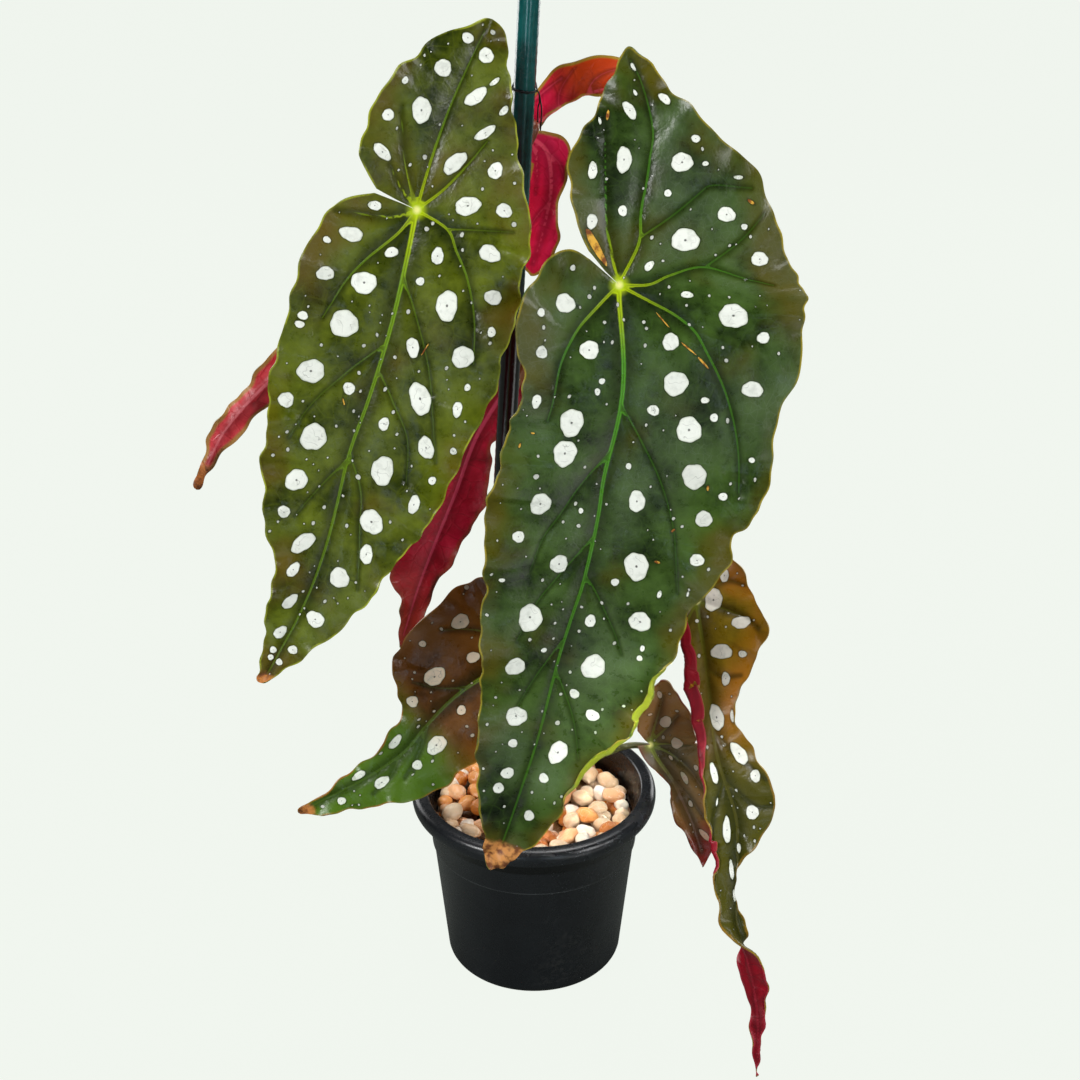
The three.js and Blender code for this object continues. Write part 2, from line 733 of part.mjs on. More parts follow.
function place(name, geometry, colour) {
  const mesh = new THREE.Mesh(geometry, material(colour));
  mesh.name = name;
  group.add(mesh);
}

place('pot', potGeometry(), COLOUR.pot);
place('potting_mix', soilGeometry(), COLOUR.soil);
place('pebbles', pebblesGeometry(), COLOUR.pebble);
place('stake', stakeGeometry(), COLOUR.stake);
place('tie', tieGeometry(), COLOUR.tie);
place('main_cane', stemsGeometry(MAIN_CANE, MAIN_PETIOLES), COLOUR.stem);
place('lower_cane', stemsGeometry(LOWER_CANE, LOWER_PETIOLES), COLOUR.stem);
place('basal_shoot', stemsGeometry(null, { leaf_e: SHOOT }), COLOUR.stem);
for (const [name, leaf] of Object.entries(LEAVES)) {
  place(name, bladeGeometry(leaf, BLADE.thickness), leaf.colour);
}

export default group;
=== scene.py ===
"""A potted polka dot begonia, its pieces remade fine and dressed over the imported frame.

The tables give flat sizes and places in millimetres, and MM turns them into metres where a mesh is made.
"""

import json
import logging
import math
from dataclasses import dataclass
from enum import Enum

import bpy
import numpy as np
from mathutils import Matrix, Vector, noise
from mathutils.geometry import delaunay_2d_cdt
from mathutils.kdtree import KDTree

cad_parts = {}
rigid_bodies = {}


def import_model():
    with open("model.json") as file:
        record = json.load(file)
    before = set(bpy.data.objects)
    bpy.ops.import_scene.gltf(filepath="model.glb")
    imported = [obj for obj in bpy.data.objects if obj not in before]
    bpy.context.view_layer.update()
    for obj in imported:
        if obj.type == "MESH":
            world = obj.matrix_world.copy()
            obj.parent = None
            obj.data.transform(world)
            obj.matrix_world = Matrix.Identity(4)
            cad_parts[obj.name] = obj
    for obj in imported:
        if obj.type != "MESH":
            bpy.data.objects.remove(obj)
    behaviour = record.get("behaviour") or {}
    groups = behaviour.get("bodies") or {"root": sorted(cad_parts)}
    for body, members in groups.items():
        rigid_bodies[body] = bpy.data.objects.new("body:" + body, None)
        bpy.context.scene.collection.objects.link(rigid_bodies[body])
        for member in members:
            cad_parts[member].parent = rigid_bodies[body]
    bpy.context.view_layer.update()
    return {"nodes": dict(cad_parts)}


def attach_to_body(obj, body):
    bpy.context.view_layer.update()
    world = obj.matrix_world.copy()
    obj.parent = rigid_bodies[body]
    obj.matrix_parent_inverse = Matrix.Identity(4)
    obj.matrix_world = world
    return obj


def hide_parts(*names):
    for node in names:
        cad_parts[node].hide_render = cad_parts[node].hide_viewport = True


LOG = logging.getLogger("begonia")

MM = 0.001
FULL_TURN = 2 * math.pi
BODY = "root"
# A blade's UV map holds its flat place, with this many millimetres to one unit
UV_UNIT = 100.0
# The blades' sizes and steps repeat the frame's own
BLADE_THICKNESS = 0.8
BEND_LENGTH = 50.0
LEAST_BEND = 0.01
SPINE_STEPS = 20
OUTLINE_STEPS = 12
CALM_LENGTH = 25.0

Points = np.ndarray
Span = tuple[float, float]
Place = tuple[float, float, float]
Piece = bpy.types.Object
Material = bpy.types.Material
Tree = bpy.types.NodeTree
Socket = bpy.types.NodeSocket


def paint(code: str) -> tuple[float, float, float, float]:
    """Turns a six-digit screen colour into the linear colour that a shader takes.

    Args:
        code: The colour as six hexadecimal digits.

    Returns:
        Linear red, green and blue, and full opacity.
    """
    parts = [int(code[i : i + 2], 16) / 255 for i in (0, 2, 4)]
    linear = [p / 12.92 if p <= 0.04045 else ((p + 0.055) / 1.055) ** 2.4 for p in parts]
    return (*linear, 1.0)


def chance(piece: int, purpose: int) -> float:
    """Gives the same number between 0 and 1 each time for a piece and a purpose."""
    value = math.sin(piece * 12.9898 + purpose * 78.233) * 43758.5453
    return value - math.floor(value)


def drawn(span: Span, piece: int, purpose: int) -> float:
    """Draws a value in a span, the same each time for a piece and a purpose."""
    return span[0] + (span[1] - span[0]) * chance(piece, purpose)


def eased(value: Points, low: float, high: float) -> Points:
    """Rises smoothly from 0 at low to 1 at high."""
    share = np.clip((value - low) / (high - low), 0.0, 1.0)
    return share * share * (3 - 2 * share)


def run_along(points: Points) -> Points:
    """Gives how far along a line each of its points lies."""
    return np.concatenate([[0], np.cumsum(np.linalg.norm(np.diff(points, axis=0), axis=1))])


def turning(angle: float) -> Points:
    """Gives the matrix that turns flat columns anticlockwise by an angle in radians."""
    return np.array([[math.cos(angle), -math.sin(angle)], [math.sin(angle), math.cos(angle)]])


def around(reach: float, angle: float, height: float) -> Place:
    """Gives the place at a distance and a bearing from the upright axis."""
    return reach * math.cos(angle), reach * math.sin(angle), height


def quarter(steps: int) -> list[Span]:
    """Gives the sines and cosines of angles in even steps from 0 to 90 degrees."""
    return [(math.sin(angle), math.cos(angle)) for angle in np.linspace(0, math.pi / 2, steps + 1)]


def unit(rows: Points) -> Points:
    """Makes each row of vectors one long."""
    return rows / np.maximum(np.linalg.norm(rows, axis=1), 1e-12)[:, None]


class Ends(Enum):
    """What a smooth line takes as the points before its first and after its last."""

    REACH = "as far again past the end"
    REPEAT = "the end point again"


@dataclass(frozen=True)
class SmoothLine:
    """A Catmull-Rom line through points, even in its parameter or eased by the points' distances."""

    points: Points
    by_distance: bool = False
    ends: Ends = Ends.REACH

    def at(self, share: Points) -> Points:
        """Gives the line's points.

        Args:
            share: How far along the line, from 0 to 1, one number for each point wanted.

        Returns:
            One row for each share.
        """
        points = np.asarray(self.points, float)
        pieces = len(points) - 1
        place = np.clip(np.asarray(share, float), 0.0, 1.0) * pieces
        piece = np.minimum(place.astype(int), pieces - 1)
        part = (place - piece)[:, None]
        first, last = points[0], points[-1]
        if self.ends is Ends.REACH:
            first, last = 2 * points[0] - points[1], 2 * points[-1] - points[-2]
        row = np.vstack([first, points, last])
        a, b, c, d = (row[piece + i] for i in range(4))
        leave, arrive = (c - a) / 2, (d - b) / 2
        if self.by_distance:
            gaps = [np.sqrt(np.linalg.norm(q - p, axis=1))[:, None] for p, q in ((a, b), (b, c), (c, d))]
            before, within, after = (np.maximum(gap, 1e-4) for gap in gaps)
            leave = ((b - a) / before - (c - a) / (before + within) + (c - b) / within) * within
            arrive = ((c - b) / within - (d - b) / (within + after) + (d - c) / after) * within
        square, cube = part**2, part**3
        return (
            b * (2 * cube - 3 * square + 1)
            + leave * (cube - 2 * square + part)
            + c * (3 * square - 2 * cube)
            + arrive * (cube - square)
        )

    def spaced(self, step: float) -> Points:
        """Gives points a step apart along the line, with both ends.

        Args:
            step: The distance wanted between neighbours, in the points' unit.

        Returns:
            The points.
        """
        share = np.linspace(0, 1, 24 * (len(self.points) - 1) + 1)
        run = run_along(self.at(share))
        wanted = np.linspace(0, run[-1], max(2, round(run[-1] / step) + 1))
        return self.at(np.interp(wanted, run, share))


def to_segments(points: Points, starts: Points, ends: Points) -> tuple[Points, Points]:
    """Measures flat points against segments.

    Args:
        points: Flat points, one a row.
        starts: The segments' first ends.
        ends: The segments' other ends.

    Returns:
        The distance from each point to each segment, and how far along the segment it is met.
    """
    run = ends - starts
    reach = points[:, None, :] - starts[None]
    part = np.clip((reach * run).sum(2) / np.maximum((run**2).sum(1), 1e-12), 0, 1)
    gap = reach - part[..., None] * run
    return np.hypot(gap[..., 0], gap[..., 1]), part


def inside(polygon: Points, points: Points) -> Points:
    """Tells which flat points lie inside a closed outline.

    Args:
        polygon: The outline's corners.
        points: Flat points, one a row.

    Returns:
        Whether each point is inside.
    """
    x, y = points[:, 0], points[:, 1]
    crossed = np.zeros(len(points), bool)
    for (ax, ay), (bx, by) in zip(polygon, np.roll(polygon, -1, axis=0)):
        if ay != by:
            crossed ^= ((ay > y) != (by > y)) & (x < (bx - ax) * (y - ay) / (by - ay) + ax)
    return crossed


# Making and finishing pieces


def linked(name: str, data: bpy.types.ID) -> Piece:
    """Makes an object of its data and links it to the scene.

    Args:
        name: The object's name.
        data: What it shows.

    Returns:
        The object.
    """
    made = bpy.data.objects.new(name, data)
    bpy.context.scene.collection.objects.link(made)
    return made


def select_only(piece: Piece) -> None:
    """Makes one object the only selected and the active one.

    Args:
        piece: The object.
    """
    bpy.ops.object.select_all(action="DESELECT")
    piece.select_set(True)
    bpy.context.view_layer.objects.active = piece


def mesh_piece(name: str, points: Points, edges: list, faces: list) -> Piece:
    """Makes an object from a mesh and selects it.

    Args:
        name: The object's name.
        points: Its points in metres.
        edges: Pairs of point numbers, for edges without a face.
        faces: Lists of point numbers.

    Returns:
        The new object, linked to the scene.
    """
    mesh = bpy.data.meshes.new(name)
    mesh.from_pydata([tuple(point) for point in points], edges, faces)
    piece = linked(name, mesh)
    select_only(piece)
    return piece


def modify(piece: Piece, kind: str, **settings) -> None:
    """Adds a modifier with settings and applies it.

    Args:
        piece: The object to change.
        kind: The modifier's type.
        **settings: The modifier's own properties.
    """
    select_only(piece)
    modifier = piece.modifiers.new(kind.lower(), kind)
    for name, value in settings.items():
        setattr(modifier, name, value)
    bpy.ops.object.modifier_apply(modifier=modifier.name)


def spun(name: str, profile: list[Span], steps: int) -> Piece:
    """Turns a profile round the upright axis into a closed piece.

    Args:
        name: The new object's name.
        profile: Radius and height in millimetres, from one end on the axis to the other.
        steps: The number of faces round.

    Returns:
        The piece, with its faces pointing out.
    """
    corners = [(radius * MM, 0.0, height * MM) for radius, height in profile]
    piece = mesh_piece(name, corners, [(i, i + 1) for i in range(len(corners) - 1)], [])
    bpy.ops.object.mode_set(mode="EDIT")
    bpy.ops.mesh.select_mode(type="VERT")
    bpy.ops.mesh.select_all(action="SELECT")
    bpy.ops.mesh.spin(steps=steps, angle=FULL_TURN, center=(0, 0, 0), axis=(0, 0, 1))
    bpy.ops.mesh.select_all(action="SELECT")
    bpy.ops.mesh.remove_doubles(threshold=1e-6)
    bpy.ops.mesh.normals_make_consistent(inside=False)
    bpy.ops.object.mode_set(mode="OBJECT")
    return piece


def tube(name: str, route: Points, radii: Points, roundness: int = 3) -> Piece:
    """Makes a closed round tube of changing thickness.

    Args:
        name: The new object's name.
        route: The middle line's points in millimetres.
        radii: The tube's radius at each point, in millimetres.
        roundness: Blender's bevel resolution, which sets the number of sides.

    Returns:
        The tube as a mesh.
    """
    curve = bpy.data.curves.new(name, "CURVE")
    curve.dimensions = "3D"
    curve.bevel_depth = MM
    curve.bevel_resolution = roundness
    curve.use_fill_caps = True
    line = curve.splines.new("POLY")
    line.points.add(len(route) - 1)
    for point, place, radius in zip(line.points, route, radii):
        point.co = (*(place * MM), 1.0)
        point.radius = radius
    select_only(linked(name, curve))
    bpy.ops.object.convert(target="MESH")
    return bpy.context.object


def joined(name: str, pieces: list[Piece]) -> Piece:
    """Joins objects into one, under a name.

    Args:
        name: The joined object's name.
        pieces: The objects.

    Returns:
        The joined object.
    """
    select_only(pieces[0])
    for piece in pieces:
        piece.select_set(True)
    bpy.ops.object.join()
    bpy.context.object.name = name
    return bpy.context.object


def read_places(piece: Piece) -> Points:
    """Reads a mesh's points in metres, one a row.

    Args:
        piece: The object.

    Returns:
        The points.
    """
    rows = np.zeros(len(piece.data.vertices) * 3, np.float32)
    piece.data.vertices.foreach_get("co", rows)
    return rows.reshape(-1, 3)


def give_numbers(piece: Piece, name: str, domain: str, values: Points) -> None:
    """Stores one number for each point or face of a piece."""
    attribute = piece.data.attributes.new(name, "FLOAT", domain)
    attribute.data.foreach_set("value", np.asarray(values, np.float32))


def seat(piece: Piece, node: str, slot: str, degrees: float, *materials: Material) -> None:
    """Finishes a piece and puts it in a frame node's place, on the one body.

    Args:
        piece: The finished shape.
        node: The frame node that it replaces.
        slot: Its material slot; not used.
        degrees: Faces that meet at less than this angle are shaded smooth.
        *materials: The materials still to be added.
    """
    for material in materials:
        piece.data.materials.append(material)
    select_only(piece)
    bpy.ops.object.shade_smooth_by_angle(angle=math.radians(degrees))
    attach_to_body(piece, BODY)
    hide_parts(node)
    LOG.info("%s: %d faces", piece.name, len(piece.data.polygons))


# Shader nodes


class Desk:
    """Adds nodes to one tree and links them.

    An input may be a number, a six-digit screen colour or another node's socket.
    """

    def __init__(self, tree: Tree) -> None:
        """Keeps the tree to work on."""
        self.tree = tree

    def put(self, socket: Socket, value: object) -> None:
        """Links the value if it is a socket, and otherwise sets it.

        Args:
            socket: The input.
            value: Its number, colour or source.
        """
        if isinstance(value, Socket):
            self.tree.links.new(value, socket)
        else:
            socket.default_value = paint(value) if isinstance(value, str) else value

    def node(self, kind: str, inputs: dict | None = None, **settings) -> bpy.types.Node:
        """Adds a node.

        Args:
            kind: The node's type without its leading ShaderNode.
            inputs: Values or sockets, by input name or number.
            **settings: The node's own properties.

        Returns:
            The new node.
        """
        made = self.tree.nodes.new("ShaderNode" + kind)
        for name, value in settings.items():
            setattr(made, name, value)
        for name, value in (inputs or {}).items():
            self.put(made.inputs[name], value)
        return made

    def maths(self, operation: str, first: object, second: object = 0.0, clamp: bool = False) -> Socket:
        """Adds a Math node and gives its result."""
        return self.node("Math", {0: first, 1: second}, operation=operation, use_clamp=clamp).outputs[0]

    def times(self, first: object, second: object) -> Socket:
        """Multiplies two numbers."""
        return self.maths("MULTIPLY", first, second)

    def plus(self, first: object, second: object, factor: float = 1.0) -> Socket:
        """Adds a multiple of the second number to the first."""
        return self.maths("ADD", first, second if factor == 1.0 else self.times(second, factor))

    def apart(self, first: object, second: object) -> Socket:
        """Gives how far apart two numbers are."""
        return self.maths("ABSOLUTE", self.maths("SUBTRACT", first, second))

    def blend(self, share: object, first: object, second: object, mode: str = "MIX") -> Socket:
        """Mixes two colours and gives the result."""
        inputs = {0: share, 6: first, 7: second}
        return self.node("Mix", inputs, data_type="RGBA", blend_type=mode).outputs[2]

    def ease(self, value: object, low: object, high: object, start: float = 0.0, end: float = 1.0) -> Socket:
        """Goes smoothly from start to end while the value goes from low to high."""
        inputs = {"Value": value, "From Min": low, "From Max": high, "To Min": start, "To Max": end}
        return self.node("MapRange", inputs, interpolation_type="SMOOTHSTEP").outputs[0]

    def fade(self, value: object, low: float, high: float, start: float = 1.0) -> Socket:
        """Goes smoothly from start to 0 while the value goes from low to high."""
        return self.ease(value, low, high, start, 0.0)

    def noise(self, vector: object, scale: object, detail: float = 3.0, roughness: float = 0.5) -> Socket:
        """Adds a noise texture and gives its value."""
        inputs = {"Vector": vector, "Scale": scale, "Detail": detail, "Roughness": roughness}
        return self.node("TexNoise", inputs).outputs["Fac"]

    def hairlines(self, cloud: Socket, width: float, share: float = 1.0) -> Socket:
        """Marks thin bent lines, where a noise crosses its middle value."""
        return self.fade(self.apart(cloud, 0.5), 0.0, width, share)

    def cells(self, vector: object, scale: object, feature: str = "F1") -> bpy.types.Node:
        """Adds a Voronoi texture and gives the node."""
        return self.node("TexVoronoi", {"Vector": vector, "Scale": scale}, feature=feature)

    def net(self, vector: object, scale: float, width: float, share: float) -> Socket:
        """Marks the thin lines between cells."""
        edges = self.cells(vector, scale, "DISTANCE_TO_EDGE")
        return self.fade(edges.outputs["Distance"], 0.0, width, share)

    def length(self, vector: object) -> Socket:
        """Gives a vector's length."""
        return self.node("VectorMath", {0: vector}, operation="LENGTH").outputs["Value"]

    def axes(self, vector: object) -> bpy.types.NodeOutputs:
        """Takes a vector apart."""
        return self.node("SeparateXYZ", {0: vector}).outputs

    def stretched(self, vector: object, upright: float) -> Socket:
        """Scales the coordinates along the upright axis."""
        return self.node("Mapping", {"Vector": vector, "Scale": (1.0, 1.0, upright)}).outputs[0]

    def here(self) -> Socket:
        """Gives the object's own coordinates."""
        return self.node("TexCoord").outputs["Object"]

    def fetch(self, name: str, output: str = "Fac") -> Socket:
        """Gives a number or a colour stored on the piece."""
        return self.node("Attribute", attribute_name=name).outputs[output]

    def pattern(self, tree: Tree, vector: object, scale: float) -> bpy.types.NodeOutputs:
        """Places a shared pattern at a scale and gives its masks."""
        return self.node("Group", {"Vector": vector, "Scale": scale}, node_tree=tree).outputs

    def grained(self, masks: bpy.types.NodeOutputs, low: float, high: float) -> Socket:
        """Varies the roughness with the soft patches' grain."""
        return self.ease(masks["Grain"], 0.3, 0.7, low, high)


class Coat:
    """A colour built up on a desk, one layer over another."""

    def __init__(self, desk: Desk, colour: object) -> None:
        """Starts with the lowest layer."""
        self.desk, self.colour = desk, colour

    def lay(self, share: object, colour: object) -> None:
        """Lays a colour over what is there, by a mask or a share."""
        self.colour = self.desk.blend(share, self.colour, colour)


class Surface(Desk):
    """A new material with its Principled shader, as a desk for its tree."""

    def __init__(self, name: str) -> None:
        """Makes the material and links its shader.

        Args:
            name: The material's name.
        """
        self.material = bpy.data.materials.new(name)
        self.material.use_nodes = True
        super().__init__(self.material.node_tree)
        self.tree.nodes.clear()
        self.shader = self.node("BsdfPrincipled")
        self.output = self.node("OutputMaterial", {0: self.shader.outputs[0]})

    def dress(self, colour: object, rough: object, relief: tuple | None = None, **values: float) -> Material:
        """Gives the shader its inputs.

        Args:
            colour: The base colour.
            rough: The roughness.
            relief: The bump's strength, its distance in metres and its height.
            **values: Other inputs, with underscores in a name standing for spaces.

        Returns:
            The finished material.
        """
        inputs = {"Base Color": colour, "Roughness": rough}
        inputs.update((label.replace("_", " "), value) for label, value in values.items())
        if relief:
            bump = self.node("Bump", dict(zip(("Strength", "Distance", "Height"), relief)))
            inputs["Normal"] = bump.outputs[0]
        for label, value in inputs.items():
            self.put(self.shader.inputs[label], value)
        return self.material


class Kind(Enum):
    """What a node group's socket carries."""

    NUMBER = "NodeSocketFloat"
    COLOUR = "NodeSocketColor"
    VECTOR = "NodeSocketVector"


class SharedGroup(Desk):
    """A shader node group with named inputs and outputs, built once, as a desk for its tree."""

    def __init__(self, name: str, takes: dict[str, Kind], gives: dict[str, Kind]) -> None:
        """Makes the empty group.

        Args:
            name: The group's name.
            takes: Its inputs.
            gives: Its outputs.
        """
        super().__init__(bpy.data.node_groups.new(name, "ShaderNodeTree"))
        for way, sockets in (("INPUT", takes), ("OUTPUT", gives)):
            for label, kind in sockets.items():
                self.tree.interface.new_socket(name=label, in_out=way, socket_type=kind.value)
        self.given = self.tree.nodes.new("NodeGroupInput").outputs
        self.result = self.tree.nodes.new("NodeGroupOutput").inputs

    def give(self, **values: object) -> Tree:
        """Links the outputs and gives the finished tree.

        Args:
            **values: What each output takes.

        Returns:
            The group's tree.
        """
        for label, value in values.items():
            self.put(self.result[label], value)
        return self.tree


class Groups:
    """The effects that several materials share."""

    def __init__(self) -> None:
        """Builds every shared group."""
        self.mottle = self._mottle()
        self.skin = self._skin()
        self.wear = self._wear()
        self.upper = self._upper()
        self.under = self._under()

    @staticmethod
    def _pattern(name: str, *masks: str) -> SharedGroup:
        """Starts a group that makes masks from coordinates, at a scale."""
        takes = {"Vector": Kind.VECTOR, "Scale": Kind.NUMBER}
        return SharedGroup(name, takes, dict.fromkeys(masks, Kind.NUMBER))

    def _mottle(self) -> Tree:
        """Builds soft patches in two sizes.

        Returns:
            The group.
        """
        desk = self._pattern("soft_patches", "Mask", "Grain")
        vector, scale = desk.given["Vector"], desk.given["Scale"]
        broad = desk.noise(vector, scale, 4.0, 0.55)
        fine = desk.noise(vector, desk.times(scale, 6.5), 3.0, 0.6)
        both = desk.plus(desk.times(broad, 0.78), fine, 0.22)
        return desk.give(Mask=desk.ease(both, 0.3, 0.7), Grain=fine)

    def _skin(self) -> Tree:
        """Builds the small cells and pits of plant skin, as a height.

        Returns:
            The group.
        """
        desk = self._pattern("plant_skin", "Height")
        vector, scale = desk.given["Vector"], desk.given["Scale"]
        cell = desk.cells(vector, scale).outputs["Distance"]
        return desk.give(Height=desk.plus(desk.noise(vector, desk.times(scale, 0.22), 3.0), cell, 0.5))

    def _wear(self) -> Tree:
        """Builds dust and fine scratches for moulded and coated surfaces.

        Returns:
            The group.
        """
        desk = self._pattern("dust_and_scratches", "Dust", "Scratch")
        vector, scale = desk.given["Vector"], desk.given["Scale"]
        cloud = desk.noise(vector, scale, 5.0, 0.65)
        grit = desk.noise(vector, desk.times(scale, 30.0), 2.0)
        dust = desk.times(desk.ease(cloud, 0.5, 0.75), desk.ease(grit, 0.45, 0.7))
        line = desk.hairlines(desk.noise(vector, desk.times(scale, 3.0), 1.0), 0.012)
        return desk.give(Dust=dust, Scratch=desk.times(line, desk.ease(cloud, 0.45, 0.6)))

    @staticmethod
    def _side(name: str, colours: tuple[str, ...], numbers: tuple[str, ...]) -> SharedGroup:
        """Starts the group that paints one side of a blade.

        Args:
            name: The group's name.
            colours: Its colour inputs.
            numbers: Its own number inputs.

        Returns:
            The group's desk.
        """
        numbers += ("Tip Start", "Tip End", "Dry Start", "Vein Away", "Vein Glow", "Margin Away")
        takes = {"Vector": Kind.VECTOR, **dict.fromkeys(colours, Kind.COLOUR)}
        takes.update(dict.fromkeys(numbers, Kind.NUMBER))
        gives = {"Color": Kind.COLOUR, "Roughness": Kind.NUMBER, "Height": Kind.NUMBER}
        return SharedGroup(name, takes, gives)

    def _ground(self, desk: SharedGroup, scale: float) -> tuple[Socket, bpy.types.NodeOutputs, Coat]:
        """Starts a side's painting: the millimetres along, the soft patches and the first coat.

        Args:
            desk: The side's group.
            scale: The patches' scale.

        Returns:
            The distance, the patches and the coat.
        """
        along = desk.times(desk.axes(desk.given["Vector"])["Y"], UV_UNIT)
        broad = desk.pattern(self.mottle, desk.given["Vector"], scale)
        return along, broad, Coat(desk, desk.blend(broad["Mask"], desk.given["Deep"], desk.given["Light"]))

    @staticmethod
    def _toward_tip(desk: SharedGroup, along: Socket, cloud: Socket, reach: float) -> Socket:
        """Masks the blade's tip colour with a clouded border."""
        return desk.ease(desk.plus(along, cloud, reach), desk.given["Tip Start"], desk.given["Tip End"])

    @staticmethod
    def _wither(desk: SharedGroup, along: Socket, coat: Coat) -> Socket:
        """Paints the dry tip, caramel with dark streaks, and gives its mask.

        Args:
            desk: The side's group.
            along: The millimetres along.
            coat: The side's coat.

        Returns:
            The dry tip's mask.
        """
        vector = desk.given["Vector"]
        ragged = desk.plus(along, desk.noise(vector, 14.0), 9.0)
        dry = desk.ease(desk.maths("SUBTRACT", ragged, desk.given["Dry Start"]), 3.0, 7.0)
        streak = desk.ease(desk.noise(vector, 22.0, 4.0), 0.44, 0.6)
        coat.lay(dry, desk.blend(streak, desk.given["Dry"], (0.16, 0.05, 0.015, 1.0)))
        return dry

    def _upper(self) -> Tree:
        """Builds the painting of a blade's upper side.

        Returns:
            The group.
        """
        desk = self._side(
            "blade_upper",
            ("Deep", "Light", "Patch", "Tip", "Vein", "Star", "Margin", "Dry", "Spot", "Tip Spot"),
            ("Patch Reach", "Silver", "Spot Mark", "Spot Share"),
        )
        given, ease, fade, times = desk.given, desk.ease, desk.fade, desk.times
        vector, away, margin = given["Vector"], given["Vein Away"], given["Margin Away"]
        along, broad, coat = self._ground(desk, 3.4)
        # The net of small veins between the branches
        net = desk.net(vector, 13.0, 0.06, 0.16)
        coat.lay(net, given["Light"])
        # Brownish patches, more of them towards the margin
        cloud = desk.noise(vector, 2.3, 3.0)
        pull = times(fade(margin, 0.0, 20.0), given["Patch Reach"])
        coat.lay(ease(desk.plus(cloud, pull), 0.5, 0.8), given["Patch"])
        # A painted sheen, silvery grey with fine light creases, lies between the veins
        painted_sheen_veil = times(ease(desk.noise(vector, 1.7, 4.0), 0.42, 0.64), given["Silver"])
        painted_sheen_veil = times(painted_sheen_veil, ease(away, 1.5, 11.0))
        coat.lay(painted_sheen_veil, (0.085, 0.115, 0.07, 1.0))
        coat.lay(times(painted_sheen_veil, desk.net(vector, 34.0, 0.05, 0.16)), (0.4, 0.46, 0.4, 1.0))
        toward_tip = self._toward_tip(desk, along, cloud, 30.0)
        coat.lay(toward_tip, given["Tip"])
        # Painted shade darkens the skin beside the veins, in their creases, and the veins are bright near the
        # attachment
        coat.lay(fade(away, 1.0, 9.0, 0.62), (0.006, 0.012, 0.001, 1.0))
        line = times(times(fade(away, 0.5, 1.2), ease(away, 0.05, 0.5, 0.55, 1.0)), given["Vein Glow"])
        centre = times(desk.length(vector), UV_UNIT)
        coat.lay(line, desk.blend(fade(centre, 5.0, 34.0), given["Vein"], given["Star"]))
        coat.lay(fade(centre, 0.8, 5.5, 0.95), given["Star"])
        coat.lay(fade(centre, 0.4, 2.4, 0.9), (0.86, 0.84, 0.3, 1.0))
        # The thin margin line comes and goes
        gap = ease(desk.noise(vector, 9.0, 3.0), 0.36, 0.6, 0.1, 0.95)
        coat.lay(times(fade(margin, 0.25, 0.95), gap), given["Margin"])
        marked = desk.maths("GREATER_THAN", given["Spot Mark"], 0.05)
        coat.lay(fade(given["Spot Share"], 1.0, 1.6, 0.6), (0.006, 0.01, 0.002, 1.0))
        coat.lay(marked, self._spot_skin(desk, toward_tip))
        rougher = desk.maths("ADD", self._wither(desk, along, coat), marked, True)
        rough = desk.plus(desk.grained(broad, 0.26, 0.36), rougher, 0.2)
        height = desk.plus(desk.pattern(self.skin, vector, 75.0)["Height"], net, -0.9)
        return desk.give(Color=coat.colour, Roughness=rough, Height=height)

    @staticmethod
    def _spot_skin(desk: SharedGroup, toward_tip: Socket) -> Socket:
        """Paints the spots white with grey hairlines and a speck at the middle.

        Args:
            desk: The upper side's group.
            toward_tip: The mask of the tip, where the spots have their own white.

        Returns:
            The colour inside the spots.
        """
        vector, share, mark = (desk.given[label] for label in ("Vector", "Spot Share", "Spot Mark"))
        ease, fade, times = desk.ease, desk.fade, desk.times
        white = Coat(desk, desk.blend(toward_tip, desk.given["Spot"], desk.given["Tip Spot"]))
        white.lay(ease(desk.noise(vector, 26.0, 4.0, 0.6), 0.46, 0.72, 0.0, 0.36), (0.42, 0.45, 0.38, 1.0))
        hair = times(desk.hairlines(desk.noise(vector, 11.0, 2.0), 0.008, 0.55), ease(share, 0.85, 0.6))
        white.lay(hair, (0.2, 0.2, 0.17, 1.0))
        speck = times(fade(share, 0.06, 0.15, 0.9), desk.maths("GREATER_THAN", mark, 0.93))
        white.lay(speck, (0.02, 0.02, 0.015, 1.0))
        white.lay(ease(share, 0.84, 1.0, 0.0, 0.4), (0.3, 0.36, 0.2, 1.0))
        white.lay(desk.maths("SUBTRACT", 1.0, mark, True), (0.2, 0.2, 0.17, 1.0))
        # A mark of two or more is a healed scratch, gold and rust
        rust = desk.blend(ease(desk.noise(vector, 34.0, 3.0), 0.4, 0.62), "dca93e", "7c4316")
        white.lay(desk.maths("GREATER_THAN", mark, 1.5), rust)
        return white.colour

    def _under(self) -> Tree:
        """Builds the painting of a blade's underside.

        Returns:
            The group.
        """
        desk = self._side(
            "blade_underside", ("Deep", "Light", "Vein", "Margin", "Tip", "Dry"), ("Margin Band",)
        )
        given, vector, away = desk.given, desk.given["Vector"], desk.given["Vein Away"]
        along, broad, coat = self._ground(desk, 3.6)
        net = desk.net(vector, 13.0, 0.08, 0.35)
        coat.lay(net, given["Deep"])
        cloud = desk.noise(vector, 6.0, 3.0)
        coat.lay(self._toward_tip(desk, along, cloud, 16.0), given["Tip"])
        # Painted shade darkens the skin beside the veins, in their creases
        coat.lay(desk.fade(away, 1.0, 6.0, 0.4), (0.04, 0.0, 0.003, 1.0))
        reach = desk.times(given["Margin Band"], desk.plus(cloud, 0.5))
        band = desk.fade(desk.maths("DIVIDE", given["Margin Away"], reach), 0.35, 1.0, 0.9)
        coat.lay(band, given["Margin"])
        coat.lay(desk.times(desk.fade(away, 0.5, 1.2), given["Vein Glow"]), given["Vein"])
        self._wither(desk, along, coat)
        height = desk.plus(desk.pattern(self.skin, vector, 60.0)["Height"], net, 1.5)
        return desk.give(Color=coat.colour, Roughness=desk.grained(broad, 0.34, 0.48), Height=height)


# Blades


